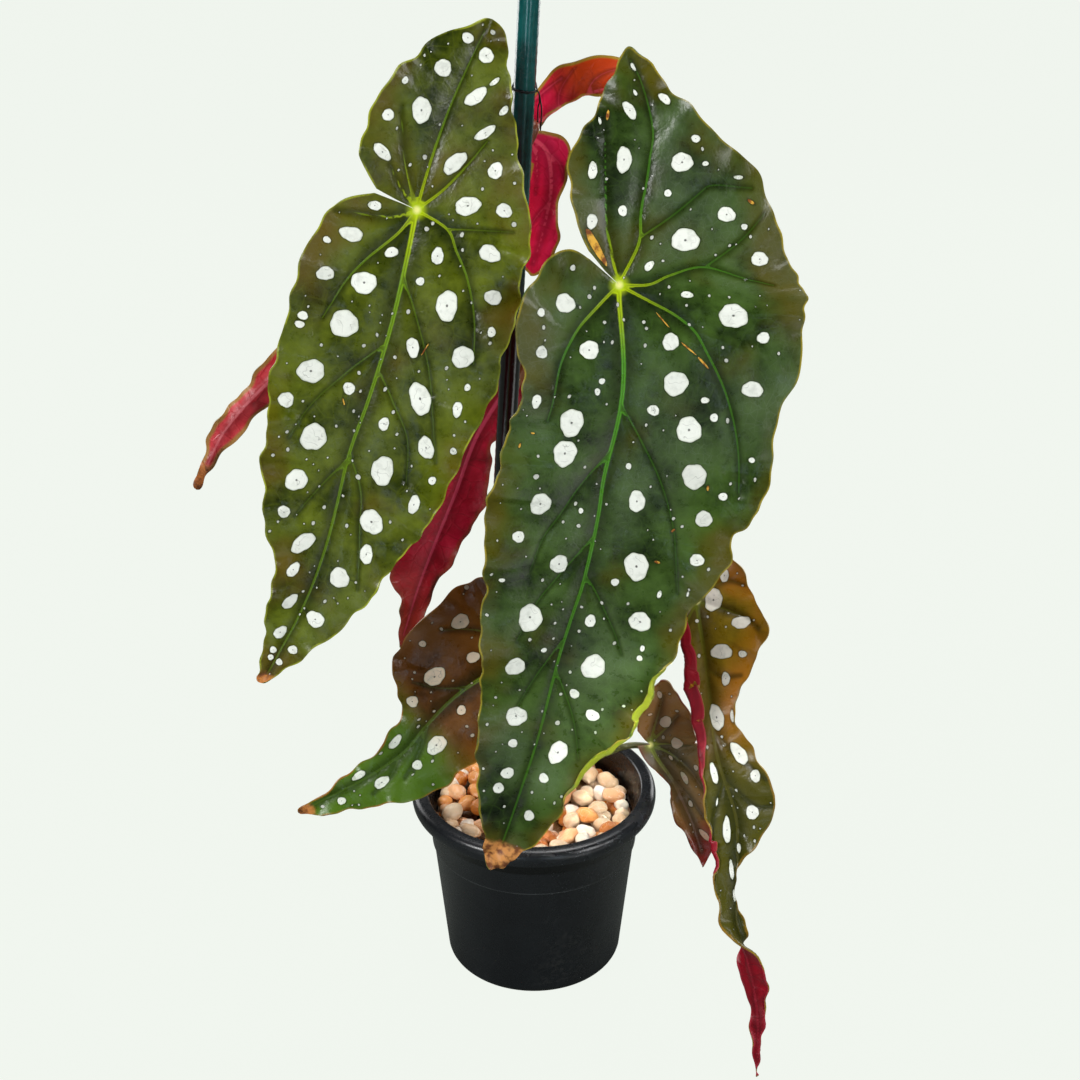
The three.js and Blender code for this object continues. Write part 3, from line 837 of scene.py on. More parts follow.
@dataclass(frozen=True)
class Wave:
    """The up-and-down wave of a blade's margin."""

    height: float
    length: float
    phase: float


@dataclass(frozen=True)
class Roll:
    """One side's margin folded over the upper side: how wide it is at places along, and how tight."""

    side: int
    widths: tuple[Span, ...]
    radius: float
    turn: float


class Rank(Enum):
    """A vein's rank, as its half width in millimetres and its brightness, each at its start and its end."""

    MIDRIB = (1.2, 0.4, 1.0, 0.25)
    PRIMARY = (0.8, 0.26, 0.8, 0.22)
    BRANCH = (0.42, 0.22, 0.3, 0.1)


@dataclass
class Spot:
    """A spot's middle, its half sizes, its lean in degrees, and its tone, where 2 is a healed scratch."""

    x: float
    y: float
    across: float
    along: float = 0.0
    lean: float = 0.0
    tone: float | None = None

    def __post_init__(self) -> None:
        """Makes a spot round where only one half size is given."""
        self.along = self.along or self.across

    def distance(self, point: Points) -> float:
        """Gives how far a point is from a circle round the spot."""
        return math.hypot(point[0] - self.x, point[1] - self.y) - max(self.across, self.along)


@dataclass(frozen=True)
class UpperFinish:
    """The colours of a blade's upper side, and where along it they change."""

    deep: str
    light: str
    patch: str
    patch_reach: float = 0.2
    # How strongly the painted sheen between the veins shows
    silver: float = 0.15
    tip: str = "5a6a22"
    tip_start: float = 400.0
    tip_end: float = 420.0
    vein: str = "5f8a22"
    star: str = "b4cc12"
    spot: str = "eff2e8"
    tip_spot: str = "eff2e8"
    margin: str = "a8862a"
    dry: str = "c07a3a"
    dry_start: float = 400.0


@dataclass(frozen=True)
class UnderFinish:
    """The colours of a blade's underside, and where along it they change."""

    deep: str = "6a0510"
    light: str = "a00c28"
    vein: str = "b84a5c"
    margin: str = "7a3a18"
    margin_band: float = 3.0
    tip: str = "7a2a1c"
    tip_start: float = 400.0
    tip_end: float = 420.0
    dry: str = "b06a34"
    dry_start: float = 400.0


@dataclass
class BladeForm:
    """A blade's sheet: a flat outline bent over a spine that runs along the midrib.

    Each row of the spine is a place, the twist there, and the left and right halves' curl, in degrees.
    """

    spine: Points
    outline: Points
    attach: int
    face: Place
    fold: float
    wave: Wave
    steady: float = 2.0

    def __post_init__(self) -> None:
        """Measures the spine, so that flat places can be found on it."""
        self.spine, self.outline = np.array(self.spine, float), np.array(self.outline, float)
        self.shares = np.linspace(0, 1, SPINE_STEPS * (len(self.spine) - 1) + 1)
        self.places = SmoothLine(self.spine[:, :3])
        self.bends = SmoothLine(self.spine[:, 3:])
        run = run_along(self.places.at(self.shares))
        self.run = run - run[SPINE_STEPS * self.attach]

    def _centre(self, along: Points) -> Points:
        """Gives the spine's point at each distance from the attachment."""
        return self.places.at(np.interp(along, self.run, self.shares))

    def place(self, flat: Points) -> Points:
        """Bends flat points into space.

        Args:
            flat: Rows of [across, along] in millimetres.

        Returns:
            Rows of x, y and z in millimetres.
        """
        x, y = flat[:, 0], flat[:, 1]
        low, high = self.run[0], self.run[-1]
        near = np.clip(y, low + self.steady, high - self.steady)
        along = unit(self._centre(near + self.steady) - self._centre(near - self.steady))
        bend = self.bends.at(np.interp(y, self.run, self.shares))
        face = np.array(self.face, float)
        up = unit(face - along * (along @ face)[:, None])
        turn = -np.radians(bend[:, 0])[:, None]
        up = up * np.cos(turn) + np.cross(along, up) * np.sin(turn)
        across = np.cross(up, along)
        held = np.clip(y, low, high)
        centre = self._centre(held) + along * (y - held)[:, None]
        degrees = np.where(x < 0, bend[:, 1], bend[:, 2])
        curl = np.radians(np.where(np.abs(degrees) < 1e-9, LEAST_BEND, degrees)) / BEND_LENGTH
        out = np.sin(curl * np.abs(x)) / curl
        rise = (1 - np.cos(curl * np.abs(x))) / curl
        out, rise = turning(math.radians(self.fold)) @ np.array([out, rise])
        return centre + across * (out * np.sign(x))[:, None] + up * rise[:, None]

    def normal(self, flat: Points) -> Points:
        """Gives the direction that the upper side faces at flat points.

        Args:
            flat: Rows of [across, along] in millimetres.

        Returns:
            One direction a row.
        """
        step_x, step_y = np.array([0.5, 0.0]), np.array([0.0, 0.5])
        along = self.place(flat + step_y) - self.place(flat - step_y)
        return unit(np.cross(along, self.place(flat + step_x) - self.place(flat - step_x)))

    def margin(self) -> Points:
        """Gives the outline as a closed ring of flat points with small teeth, the attachment last.

        Returns:
            The ring's points.
        """
        share = np.linspace(0, 1, OUTLINE_STEPS * (len(self.outline) - 1) + 1)
        edge = SmoothLine(self.outline, ends=Ends.REPEAT).at(share)
        run = run_along(edge)
        side = unit(np.gradient(edge, axis=0))
        out = np.column_stack([-side[:, 1], side[:, 0]])
        calm = np.clip(np.minimum(run, run[-1] - run) / CALM_LENGTH, 0, 1)
        teeth = 0.3 * np.sin(run / 1.7 + 2 * np.sin(run / 17)) + 0.5 * np.sin(run / 2.9 + self.wave.phase)
        teeth += 0.75 * np.sin(run / 6.1 + 1.5 * np.sin(run / 23))
        edge = edge + out * (teeth * calm**2)[:, None]
        return np.vstack([edge, [[0.0, 0.0]]])


@dataclass
class Field:
    """What is known at each flat point of a blade."""

    margin_away: Points
    margin_run: Points
    inward: Points
    vein_away: Points
    vein_distance: Points
    vein_glow: Points
    middle_away: Points


@dataclass
class Leaf:
    """One blade with its veins, its spots and its two finishes."""

    name: str
    seed: int
    slot: str
    form: BladeForm
    upper: UpperFinish
    under: UnderFinish
    midribs: tuple
    primaries: tuple = ()
    branches: tuple = ()
    spots: tuple = ()
    rib_gap: float = 0.0
    spot_gap: float = 0.0
    strewn_spots: int = 60
    specks: int = 40
    speck_gap: float = 2.2
    speck_tone: float = 0.52
    roll: Roll | None = None
    pitch: float = 1.5
    pillow: float = 1.5
    groove: float = 0.3

    def __post_init__(self) -> None:
        """Gathers the veins with their ranks, and draws side ribs where the table asks for them."""
        self.spots = [Spot(*row) for row in self.spots]
        rooted = ((Rank.MIDRIB, self.midribs), (Rank.PRIMARY, self.primaries))
        self.veins = [(rank, ((0, 0), *way)) for rank, ways in rooted for way in ways]
        self.veins += [(Rank.BRANCH, way) for way in self.branches]
        if not self.rib_gap:
            return
        ring = self.form.margin()
        line = SmoothLine(np.array(self.veins[0][1], float)).spaced(self.rib_gap / 2)
        for number, foot in enumerate(line[1:-2]):
            side = 1 if number % 2 else -1
            way = foot + np.array([(0, 0), (7 * side, 6), (18 * side, 19), (30 * side, 35), (42 * side, 53)])
            last = int(np.argmin(np.append(inside(ring, way), False)))
            if last > 2:
                self.veins.append((Rank.BRANCH, way[:last]))

    def build(self, groups: Groups) -> None:
        """Makes the blade with its thickness, and dresses it.

        Args:
            groups: The shared node groups.
        """
        ring = self.form.margin()
        draw = np.random.RandomState(self.seed)
        if self.spot_gap:
            self._strew(ring, draw, self.strewn_spots, self.spot_gap, (1.2, 3.0))
        self._strew(ring, draw, self.specks, self.speck_gap, (0.25, 0.5))
        flat, faces = self._flat_mesh(ring)
        known = self._field(flat, ring)
        corners = self._shaped(flat, known) * MM
        piece = mesh_piece(self.name + "_blade", corners, [], faces[:, ::-1].tolist())
        piece.data.validate()
        for fact in ("vein_away", "vein_glow", "margin_away"):
            give_numbers(piece, fact, "POINT", getattr(known, fact))
        give_numbers(piece, "spot_share", "POINT", self._spot_share(flat)[0])
        give_numbers(piece, "spot_mark", "FACE", self._marks(flat[faces].mean(axis=1)))
        layer = piece.data.uv_layers.new(name="flat")
        corner = np.zeros(len(piece.data.loops), np.int32)
        piece.data.loops.foreach_get("vertex_index", corner)
        layer.data.foreach_set("uv", (flat[corner] / UV_UNIT).astype(np.float32).ravel())
        for material in (
            self._skin("upper", groups.upper, self.upper, 0.28, "Spot Mark", "Spot Share"),
            self._skin("underside", groups.under, self.under, 0.4, Sheen_Weight=0.05),
            self._edge_material(),
        ):
            piece.data.materials.append(material)
        modify(
            piece, "SOLIDIFY", thickness=BLADE_THICKNESS * MM, offset=0.0,
            material_offset=1, material_offset_rim=2,
        )
        seat(piece, self.name, self.slot, 60)

    def _vein_rows(self) -> tuple[Points, Points, Points]:
        """Lays the veins out as short segments.

        Returns:
            The segments' starts, their ends, and rows of half width and brightness at each end.
        """
        starts, ends, facts = [], [], []
        for rank, points in self.veins:
            line = SmoothLine(np.array(points, float)).spaced(2.0)
            share = np.linspace(0, 1, len(line))
            wide = rank.value[0] + (rank.value[1] - rank.value[0]) * share
            bright = rank.value[2] + (rank.value[3] - rank.value[2]) * share**0.6
            starts.append(line[:-1])
            ends.append(line[1:])
            facts.append(np.column_stack([wide[:-1], wide[1:], bright[:-1], bright[1:]]))
        return np.vstack(starts), np.vstack(ends), np.vstack(facts)

    def _field(self, flat: Points, ring: Points) -> Field:
        """Measures the flat points against the margin and the veins.

        Args:
            flat: The flat points.
            ring: The closed outline.

        Returns:
            What is known at each point.
        """
        starts, ends = ring[:-2], ring[1:-1]
        run = run_along(ring[:-1])
        step, run = np.diff(run), run[:-1]
        turned = unit(ends - starts)
        left = np.column_stack([-turned[:, 1], turned[:, 0]])
        left[~inside(ring, (starts + ends) / 2 + left * 0.05)] *= -1
        vein_starts, vein_ends, facts = self._vein_rows()
        # The margin's wave dies out to the midrib and to the back lobe's middle
        outline = self.form.outline
        tip, low = (0.0, outline[:, 1].max() * 0.94), outline[outline[:, 1].argmin()] * 0.8
        middle = np.zeros((2, 2)), np.array([tip, low])
        rows = []
        for block in np.array_split(flat, max(1, len(flat) // 1500)):
            away, part = to_segments(block, starts, ends)
            best = away.argmin(axis=1)
            pick = np.arange(len(block))
            vein, share = to_segments(block, vein_starts, vein_ends)
            scaled = vein / (facts[:, 0] + (facts[:, 1] - facts[:, 0]) * share)
            near = scaled.argmin(axis=1)
            glow = facts[near, 2] + (facts[near, 3] - facts[near, 2]) * share[pick, near]
            rows.append(np.column_stack([
                away[pick, best], run[best] + step[best] * part[pick, best], left[best],
                scaled[pick, near], vein.min(axis=1), glow, to_segments(block, *middle)[0].min(axis=1),
            ]))
        whole = np.vstack(rows)
        return Field(whole[:, 0], whole[:, 1], whole[:, 2:4], *whole[:, 4:].T)

    def _shaped(self, flat: Points, known: Field) -> Points:
        """Places the points in space with the margin's wave, the veins' grooves and what lies between them.

        Args:
            flat: The flat points.
            known: What is known at each.

        Returns:
            The points in space, in millimetres.
        """
        form = self.form
        ring = form.margin()[:-1]
        tip_run = run_along(ring)[ring[:, 1].argmax()]
        near_end = np.minimum(known.margin_run, known.margin_run.max() - known.margin_run)
        calm = np.clip(np.minimum(near_end, np.abs(known.margin_run - tip_run)) / CALM_LENGTH, 0, 1)
        turn = known.margin_run / form.wave.length * FULL_TURN + form.wave.phase
        share = known.middle_away / (known.middle_away + known.margin_away + 1e-6)
        lift = 1.15 * form.wave.height * calm * share**3 * np.sin(turn)
        small = np.sin(turn * 2.7 + np.sin(turn)) * np.exp(-known.margin_away / 6)
        lift += 0.4 * form.wave.height * calm * small
        # The skin stands up between the veins and dips along them
        valley = np.sqrt(known.vein_distance**2 + 1.5) - 1.2
        lift += self.pillow * (1 - np.exp(-valley / 5.5)) * (0.35 + 0.65 * eased(known.margin_away, 0, 9))
        dip = np.exp(-((known.vein_distance / 1.3) ** 2))
        lift -= self.groove * dip * np.clip(known.vein_glow * 3, 0.3, 1)
        x, y = flat[:, 0], flat[:, 1]
        from_foot = eased(np.hypot(x, y), 4, 20)
        drift = np.sin(x / 7.3 + 1.7 * np.sin(y / 19) + self.seed) * np.sin(y / 8.9 + 1.3 * np.sin(x / 13))
        lift += 0.45 * drift * from_foot
        lift += 0.08 * np.sin(x / 2.1 + y / 3.7 + drift * 2) * np.sin(y / 2.6 - x / 3.3) * from_foot
        # The dry tip is narrower and crumpled
        moved = flat.copy()
        end = form.outline[:, 1].max()
        wither = eased(y, min(self.upper.dry_start - 3, end - 2), end)
        moved[:, 0] *= 1 - 0.1 * wither
        lift += wither * (1.9 * np.sin(x / 2.2 + y / 3.1) + 1.1 * np.sin(y / 1.6 - x / 1.9))
        if self.roll:
            turned_in, risen = self._rolled(known, y)
            moved += known.inward * turned_in[:, None]
            lift = lift * (risen == 0) + risen + 0.3 * lift * (risen > 0)
        # Where the bent sheet is squeezed along, its waves are lower too
        step = np.array([0.0, 0.5])
        squeeze = np.linalg.norm(form.place(moved + step) - form.place(moved - step), axis=1)
        lift *= np.clip(squeeze, 0, 1) ** 2
        return form.place(moved) + form.normal(moved) * lift[:, None]

    def _rolled(self, known: Field, y: Points) -> tuple[Points, Points]:
        """Works out the folded margin.

        Args:
            known: What is known at each point.
            y: How far along the blade each lies.

        Returns:
            How far each point goes in, and how far up.
        """
        roll = self.roll
        table = np.array(roll.widths)
        width = np.interp(y, table[:, 0], table[:, 1]) * (known.inward[:, 0] * roll.side < 0)
        over = np.clip(width - known.margin_away, 0, None)
        angle = np.minimum(over / roll.radius, math.radians(roll.turn))
        beyond = over - angle * roll.radius
        out = roll.radius * np.sin(angle) + beyond * np.cos(angle)
        return over - out, roll.radius * (1 - np.cos(angle)) + beyond * np.sin(angle)

    def _strew(self, ring: Points, draw: np.random.RandomState, count: int, gap: float, size: Span) -> None:
        """Adds spots clear of the ones there, by a fixed draw.

        Args:
            ring: The closed outline.
            draw: The random state.
            count: How many to add at most.
            gap: The least distance from the new spot's middle to the others' edges.
            size: The least half size, and how much more it may be.
        """
        low, high = ring.min(axis=0), ring.max(axis=0)
        wanted = len(self.spots) + count
        for _ in range(count * 12):
            spot, half = low + (high - low) * draw.rand(2), size[0] + size[1] * draw.rand() ** 2
            stretch, lean = 1 + 0.5 * draw.rand(), 60 * draw.rand() - 30
            near = min((s.distance(spot) for s in self.spots), default=99)
            if len(self.spots) == wanted or near < gap or not inside(ring, spot[None])[0]:
                continue
            if to_segments(spot[None], ring[:-1], ring[1:])[0].min() > half * stretch + 1:
                self.spots.append(Spot(spot[0], spot[1], half, half * stretch, lean))

    @staticmethod
    def _spot_radius(number: int, turn: Points) -> Points:
        """Gives how far a spot's edge stands out from its ellipse, by direction.

        Args:
            number: The spot's number.
            turn: The directions, in radians.

        Returns:
            The radius, near 1, in each direction.
        """
        phases = [FULL_TURN * chance(number, purpose) for purpose in (11, 12, 13)]
        bulge = 0.05 * np.sin(2 * turn + phases[0]) + 0.05 * np.sin(3 * turn + phases[1])
        return 1 + bulge + 0.03 * np.sin(7 * turn + phases[2])

    def _spot_ring(self, number: int, spot: Spot) -> Points:
        """Gives a spot's irregular outline as flat points.

        Args:
            number: The spot's number.
            spot: The spot.

        Returns:
            The ring's points.
        """
        count = max(7, round(math.pi * (spot.across + spot.along) / 0.75))
        turn = np.linspace(0, FULL_TURN, count, endpoint=False)
        local = np.column_stack([spot.across * np.cos(turn), spot.along * np.sin(turn)])
        local *= self._spot_radius(number, turn)[:, None]
        return local @ turning(math.radians(spot.lean)).T + [spot.x, spot.y]

    def _spot_share(self, flat: Points) -> tuple[Points, Points]:
        """Measures points against the spots.

        Args:
            flat: The flat points.

        Returns:
            For each point 0 at a spot's middle, 1 at its edge and a further 1 for each millimetre
            outside, and the number of the spot that it is nearest to.
        """
        share = np.full(len(flat), 9.0)
        owner = np.zeros(len(flat), int)
        for number, spot in enumerate(self.spots):
            off = flat - [spot.x, spot.y]
            near = np.flatnonzero(np.abs(off).max(axis=1) < max(spot.across, spot.along) + 4)
            scaled = off[near] @ turning(math.radians(spot.lean)) / [spot.across, spot.along]
            turn = np.arctan2(scaled[:, 1], scaled[:, 0])
            reach = np.linalg.norm(scaled, axis=1) / self._spot_radius(number, turn)
            value = np.where(reach > 1, (reach - 1) * min(spot.across, spot.along) + 1, reach)
            better = value < share[near]
            share[near[better]] = value[better]
            owner[near[better]] = number
        return share, owner

    def _marks(self, middles: Points) -> Points:
        """Gives each face 0, or its spot's tone if it lies in one.

        Args:
            middles: The faces' flat middles.

        Returns:
            One mark for each face.
        """
        share, owner = self._spot_share(middles)
        tones = []
        for number, spot in enumerate(self.spots):
            tone = spot.tone or 1 - 0.12 * chance(number, 14)
            tiny = tone < 1.5 and max(spot.across, spot.along) < 1.3
            tones.append(tone * self.speck_tone if tiny else tone)
        return np.where(share < 1, np.array(tones)[owner], 0.0)

    def _flat_mesh(self, ring: Points) -> tuple[Points, Points]:
        """Triangulates the flat blade along its margin, its veins and its spots' edges.

        Args:
            ring: The closed outline.

        Returns:
            The flat points and the triangles, which run anticlockwise.
        """
        points = [ring]
        edges = [(i, (i + 1) % len(ring)) for i in range(len(ring))]

        def add(line: Points, closed: bool) -> None:
            """Adds a line's points and edges."""
            count = sum(map(len, points))
            points.append(line)
            last = len(line) if closed else len(line) - 1
            edges.extend((count + i, count + (i + 1) % len(line)) for i in range(last))

        for _, way in self.veins:
            line = SmoothLine(np.array(way, float)).spaced(1.6)[1:]
            within = inside(ring, line) & (to_segments(line, ring[:-1], ring[1:])[0].min(axis=1) > 1.2)
            stop = int(np.argmin(np.append(within, False)))
            if stop > 1:
                add(line[:stop], False)
        for number, spot in enumerate(self.spots):
            add(self._spot_ring(number, spot), True)
            add(np.array([(spot.x, spot.y)], float), False)
        fixed = np.vstack(points)
        corners = [Vector(p) for p in np.vstack([fixed, self._filling(ring, fixed)])]
        made = delaunay_2d_cdt(corners, edges, [], 0, 1e-4, False)
        flat = np.array([tuple(v) for v in made[0]])
        faces = np.array(made[2])
        faces = faces[inside(ring, flat[faces].mean(axis=1))]
        a, b, c = (flat[faces[:, i]] for i in range(3))
        area = (b[:, 0] - a[:, 0]) * (c[:, 1] - a[:, 1]) - (b[:, 1] - a[:, 1]) * (c[:, 0] - a[:, 0])
        faces[area < 0] = faces[area < 0][:, ::-1]
        used, faces = np.unique(faces[np.abs(area) > 1e-7], return_inverse=True)
        return flat[used], faces.reshape(-1, 3)

    def _filling(self, ring: Points, fixed: Points) -> Points:
        """Gives even points for the rest of the blade, clear of the fixed ones.

        Args:
            ring: The closed outline.
            fixed: The points that are there already.

        Returns:
            The new flat points.
        """
        low, high = ring.min(axis=0), ring.max(axis=0)
        pitch = np.array([1, 0.87]) * self.pitch
        x, y = np.meshgrid(*(np.arange(*span) for span in zip(low, high, pitch)))
        x[::2] += self.pitch / 2
        free = np.column_stack([x.ravel(), y.ravel()])
        free = free[inside(ring, free)]
        tree = KDTree(len(fixed))
        for number, (x, y) in enumerate(fixed):
            tree.insert((x, y, 0.0), number)
        tree.balance()
        clear = [tree.find((x, y, 0.0))[2] > 0.55 * self.pitch for x, y in free]
        return free[np.array(clear)]

    def _skin(
        self, side: str, tree: Tree, finish: object, bump: float, *facts: str, **values: float,
    ) -> Material:
        """Makes a side's skin from its group, the finish's values and the piece's stored numbers.

        Args:
            side: The side's name.
            tree: Its group.
            finish: Its colours.
            bump: The strength of its relief.
            *facts: The titles of the stored numbers, besides those of the veins and the margin.
            **values: Other inputs of the shader.

        Returns:
            The material.
        """
        desk = Surface(f"{self.name}_{side}")
        inputs = {"Vector": desk.node("UVMap", uv_map="flat").outputs[0]}
        for title in ("Vein Away", "Vein Glow", "Margin Away", *facts):
            inputs[title] = desk.fetch(title.lower().replace(" ", "_"))
        for label, value in vars(finish).items():
            inputs[label.replace("_", " ").title()] = value
        skin = desk.node("Group", inputs, node_tree=tree).outputs
        relief = (bump, 0.0004, skin["Height"])
        return desk.dress(skin["Color"], skin["Roughness"], relief, Specular_IOR_Level=0.3, **values)

    def _edge_material(self) -> Material:
        """Makes the thin light line of the blade's edge.

        Returns:
            The material.
        """
        desk = Surface(self.name + "_edge")
        flat = desk.node("UVMap", uv_map="flat").outputs[0]
        share = desk.ease(desk.noise(flat, 16.0, 3.0), 0.35, 0.65)
        colour = desk.blend(share, self.upper.margin, self.upper.light)
        return desk.dress(colour, desk.ease(share, 0.0, 1.0, 0.4, 0.5))


# What each blade looks like, with spots as read from the photograph and veins as flat points. Midribs
# and primaries start where the petiole joins

LEAF_A = Leaf(
    "leaf_a", 5, "leaf_green",
    BladeForm(attach=2, face=(0, -1, 0), fold=6, wave=Wave(2.2, 38, 0.4), spine=(
        (-17, -17, 471, 0, 8, 8), (-34, -31, 436, 0, 8, 8), (-47, -41, 401, 0, 6, 6),
        (-61, -53, 349, 0, 4, 4), (-77, -63, 297, 0, 4, 4), (-94, -71, 249, 0, 6, 6),
        (-118, -79, 199, 0, 10, 10),
    ), outline=(
        (-18.5, -1.8), (-31.9, 5), (-37.9, 17.9), (-41.6, 36.1), (-42.1, 56.8), (-41.5, 78), (-39, 98),
        (-35, 120), (-26.3, 146), (-15.6, 166.1), (-13.1, 180.3), (-7.7, 198.5), (-2.5, 216.8), (7, 204.2),
        (14.5, 190.8), (21.5, 174), (27.7, 160.8), (28, 150), (34, 140), (39, 125), (41, 112), (44, 96),
        (47, 80), (49, 60), (50, 36), (49, 14), (47, -6), (41, -21), (31, -36), (23, -52), (15, -67),
        (2.6, -81.5), (-5.4, -78.2), (-16.9, -64.7), (-26.9, -47.4), (-29.5, -30), (-30.5, -16.8),
        (-26.5, -11), (-18.2, -3.6),
    )),
    upper=UpperFinish("101d01", "66720a", "5e4c08", 0.12, 0.2, vein="7da81c", dry_start=211, margin="98a02c"),
    under=UnderFinish(dry_start=211),
    midribs=(
        ((1, 20), (1, 50), (0, 80), (-1.5, 105), (0, 130), (1, 150), (1.5, 180), (0, 214)),
    ),
    primaries=(
        ((-0.5, -20), (-1, -40), (-1, -60), (-1, -76)), ((-8, -13), (-14, -24), (-19, -36)),
        ((-8, -6), (-16, -14)), ((8, -11), (14, -24), (18, -36)),
        ((14, 4), (20, 12), (27, 22), (34, 38), (38, 54)), ((-5, 11), (-15, 24), (-22, 36), (-27, 52)),
        ((-8, 5), (-20, 7), (-32, 8)),
    ),
    branches=(
        ((14, 4), (25, 1), (40, -3)), ((1, 27), (10, 42), (20, 60), (27, 78), (34, 98)),
        ((1, 68), (11, 80), (20, 92), (25, 110)), ((0, 57), (-12, 72), (-22, 88), (-28, 105)),
        ((-1.5, 108), (-8, 120), (-16, 138)), ((-1.5, 105), (8, 120), (12, 135), (20, 160)),
    ),
    spots=(
        (-6, -70.5, 2.5, 2), (4, -67.5, 3), (2.5, -77, 1), (-10, -55.5, 3.6, 3.2), (7, -51, 2.7, 5, 32),
        (11.5, -59.5, 1, 2.4, 30), (19.5, -50.5, 1.3, 2.5, 15), (-22.5, -45, 1.3),
        (-11.5, -37.5, 3.8, 5, -15), (16, -39, 1.9, 4.8, 33), (-23, -31, 2.2, 2.3), (9, -23, 2.8, 6, 25),
        (25.5, -26, 3, 3.5, 10), (34.5, -24, 0.7), (-20.5, -17.5, 4.5, 2, 21), (-3.5, -21, 1),
        (19.5, -8, 5.3, 3.8, -28), (34, -11, 3.4, 3), (39.5, -6.5, 1.1), (-17, 2.7, 2.8, 1.7), (6, 6.3, 1),
        (20.5, 4.5, 0.8, 1.2), (33.5, 9, 4.5, 3.5), (13, 15.7, 2.4, 3.6), (-23.5, 15.5, 4.5, 3),
        (-32.5, 20, 1.7, 1.2), (-5.8, 19, 2.7, 2, -35), (8.5, 27.6, 1.8, 1.7), (39, 26.5, 3.4, 3.2),
        (21.5, 34.5, 4.5, 6, -12), (-30.5, 33, 3.6, 2.8), (-14, 33.5, 5.3, 4.3, -25), (42, 40, 1.7, 2),
        (6.5, 41, 0.8, 1), (-18, 52, 6, 5.4, -30), (-35, 53, 2), (-35.5, 57, 2, 1.5),
        (12, 54.5, 2.6, 4, -20), (33, 52.5, 4.5, 4.3), (38, 64, 1.2, 1.6), (-8, 59, 0.8), (6, 60.4, 0.8),
        (-25, 63, 0.7), (-26.5, 74.5, 5.6, 5, -35), (20.5, 74, 4.3, 6.6, -30), (36.7, 73.5, 2, 3, -10),
        (-9.3, 78, 2.5), (-33, 89.5, 3, 3.5), (9, 88.5, 2.2, 2.7), (28.5, 93, 3, 5, -25), (40, 90.5, 1.5),
        (-18, 102, 5, 6.2, 8), (14, 107.8, 4.6, 6.2, -15), (35, 105.5, 1.5, 1.8), (31, 117, 2.4, 4),
        (-32.3, 113.5, 0.8), (5, 114, 1.2), (-19.7, 122, 4.4, 4.8, 10), (16, 130.5, 4.6, 5.6, -30),
        (-21, 137, 2.7, 2.6), (18.3, 144.5, 2.8, 4, -10), (-9, 148.5, 3.4, 5.8, 28),
        (-9, 161.5, 2.2, 3.6, 15), (11, 158, 4.2), (-5, 176, 2.5, 4, 18), (8.5, 179, 3.8, 3.6),
        (-3, 191, 2.2, 3.4, 20), (5.5, 196, 2.1), (-2.3, 200, 1.5), (-2, 203.5, 1.3), (2.5, 204, 1.5),
        (47.5, -8, 1.2, 3, 0, 2), (17, 54, 0.25, 3, 20, 2), (-10, 84, 0.3, 1.6, -30, 2),
    ),
    specks=110,
)

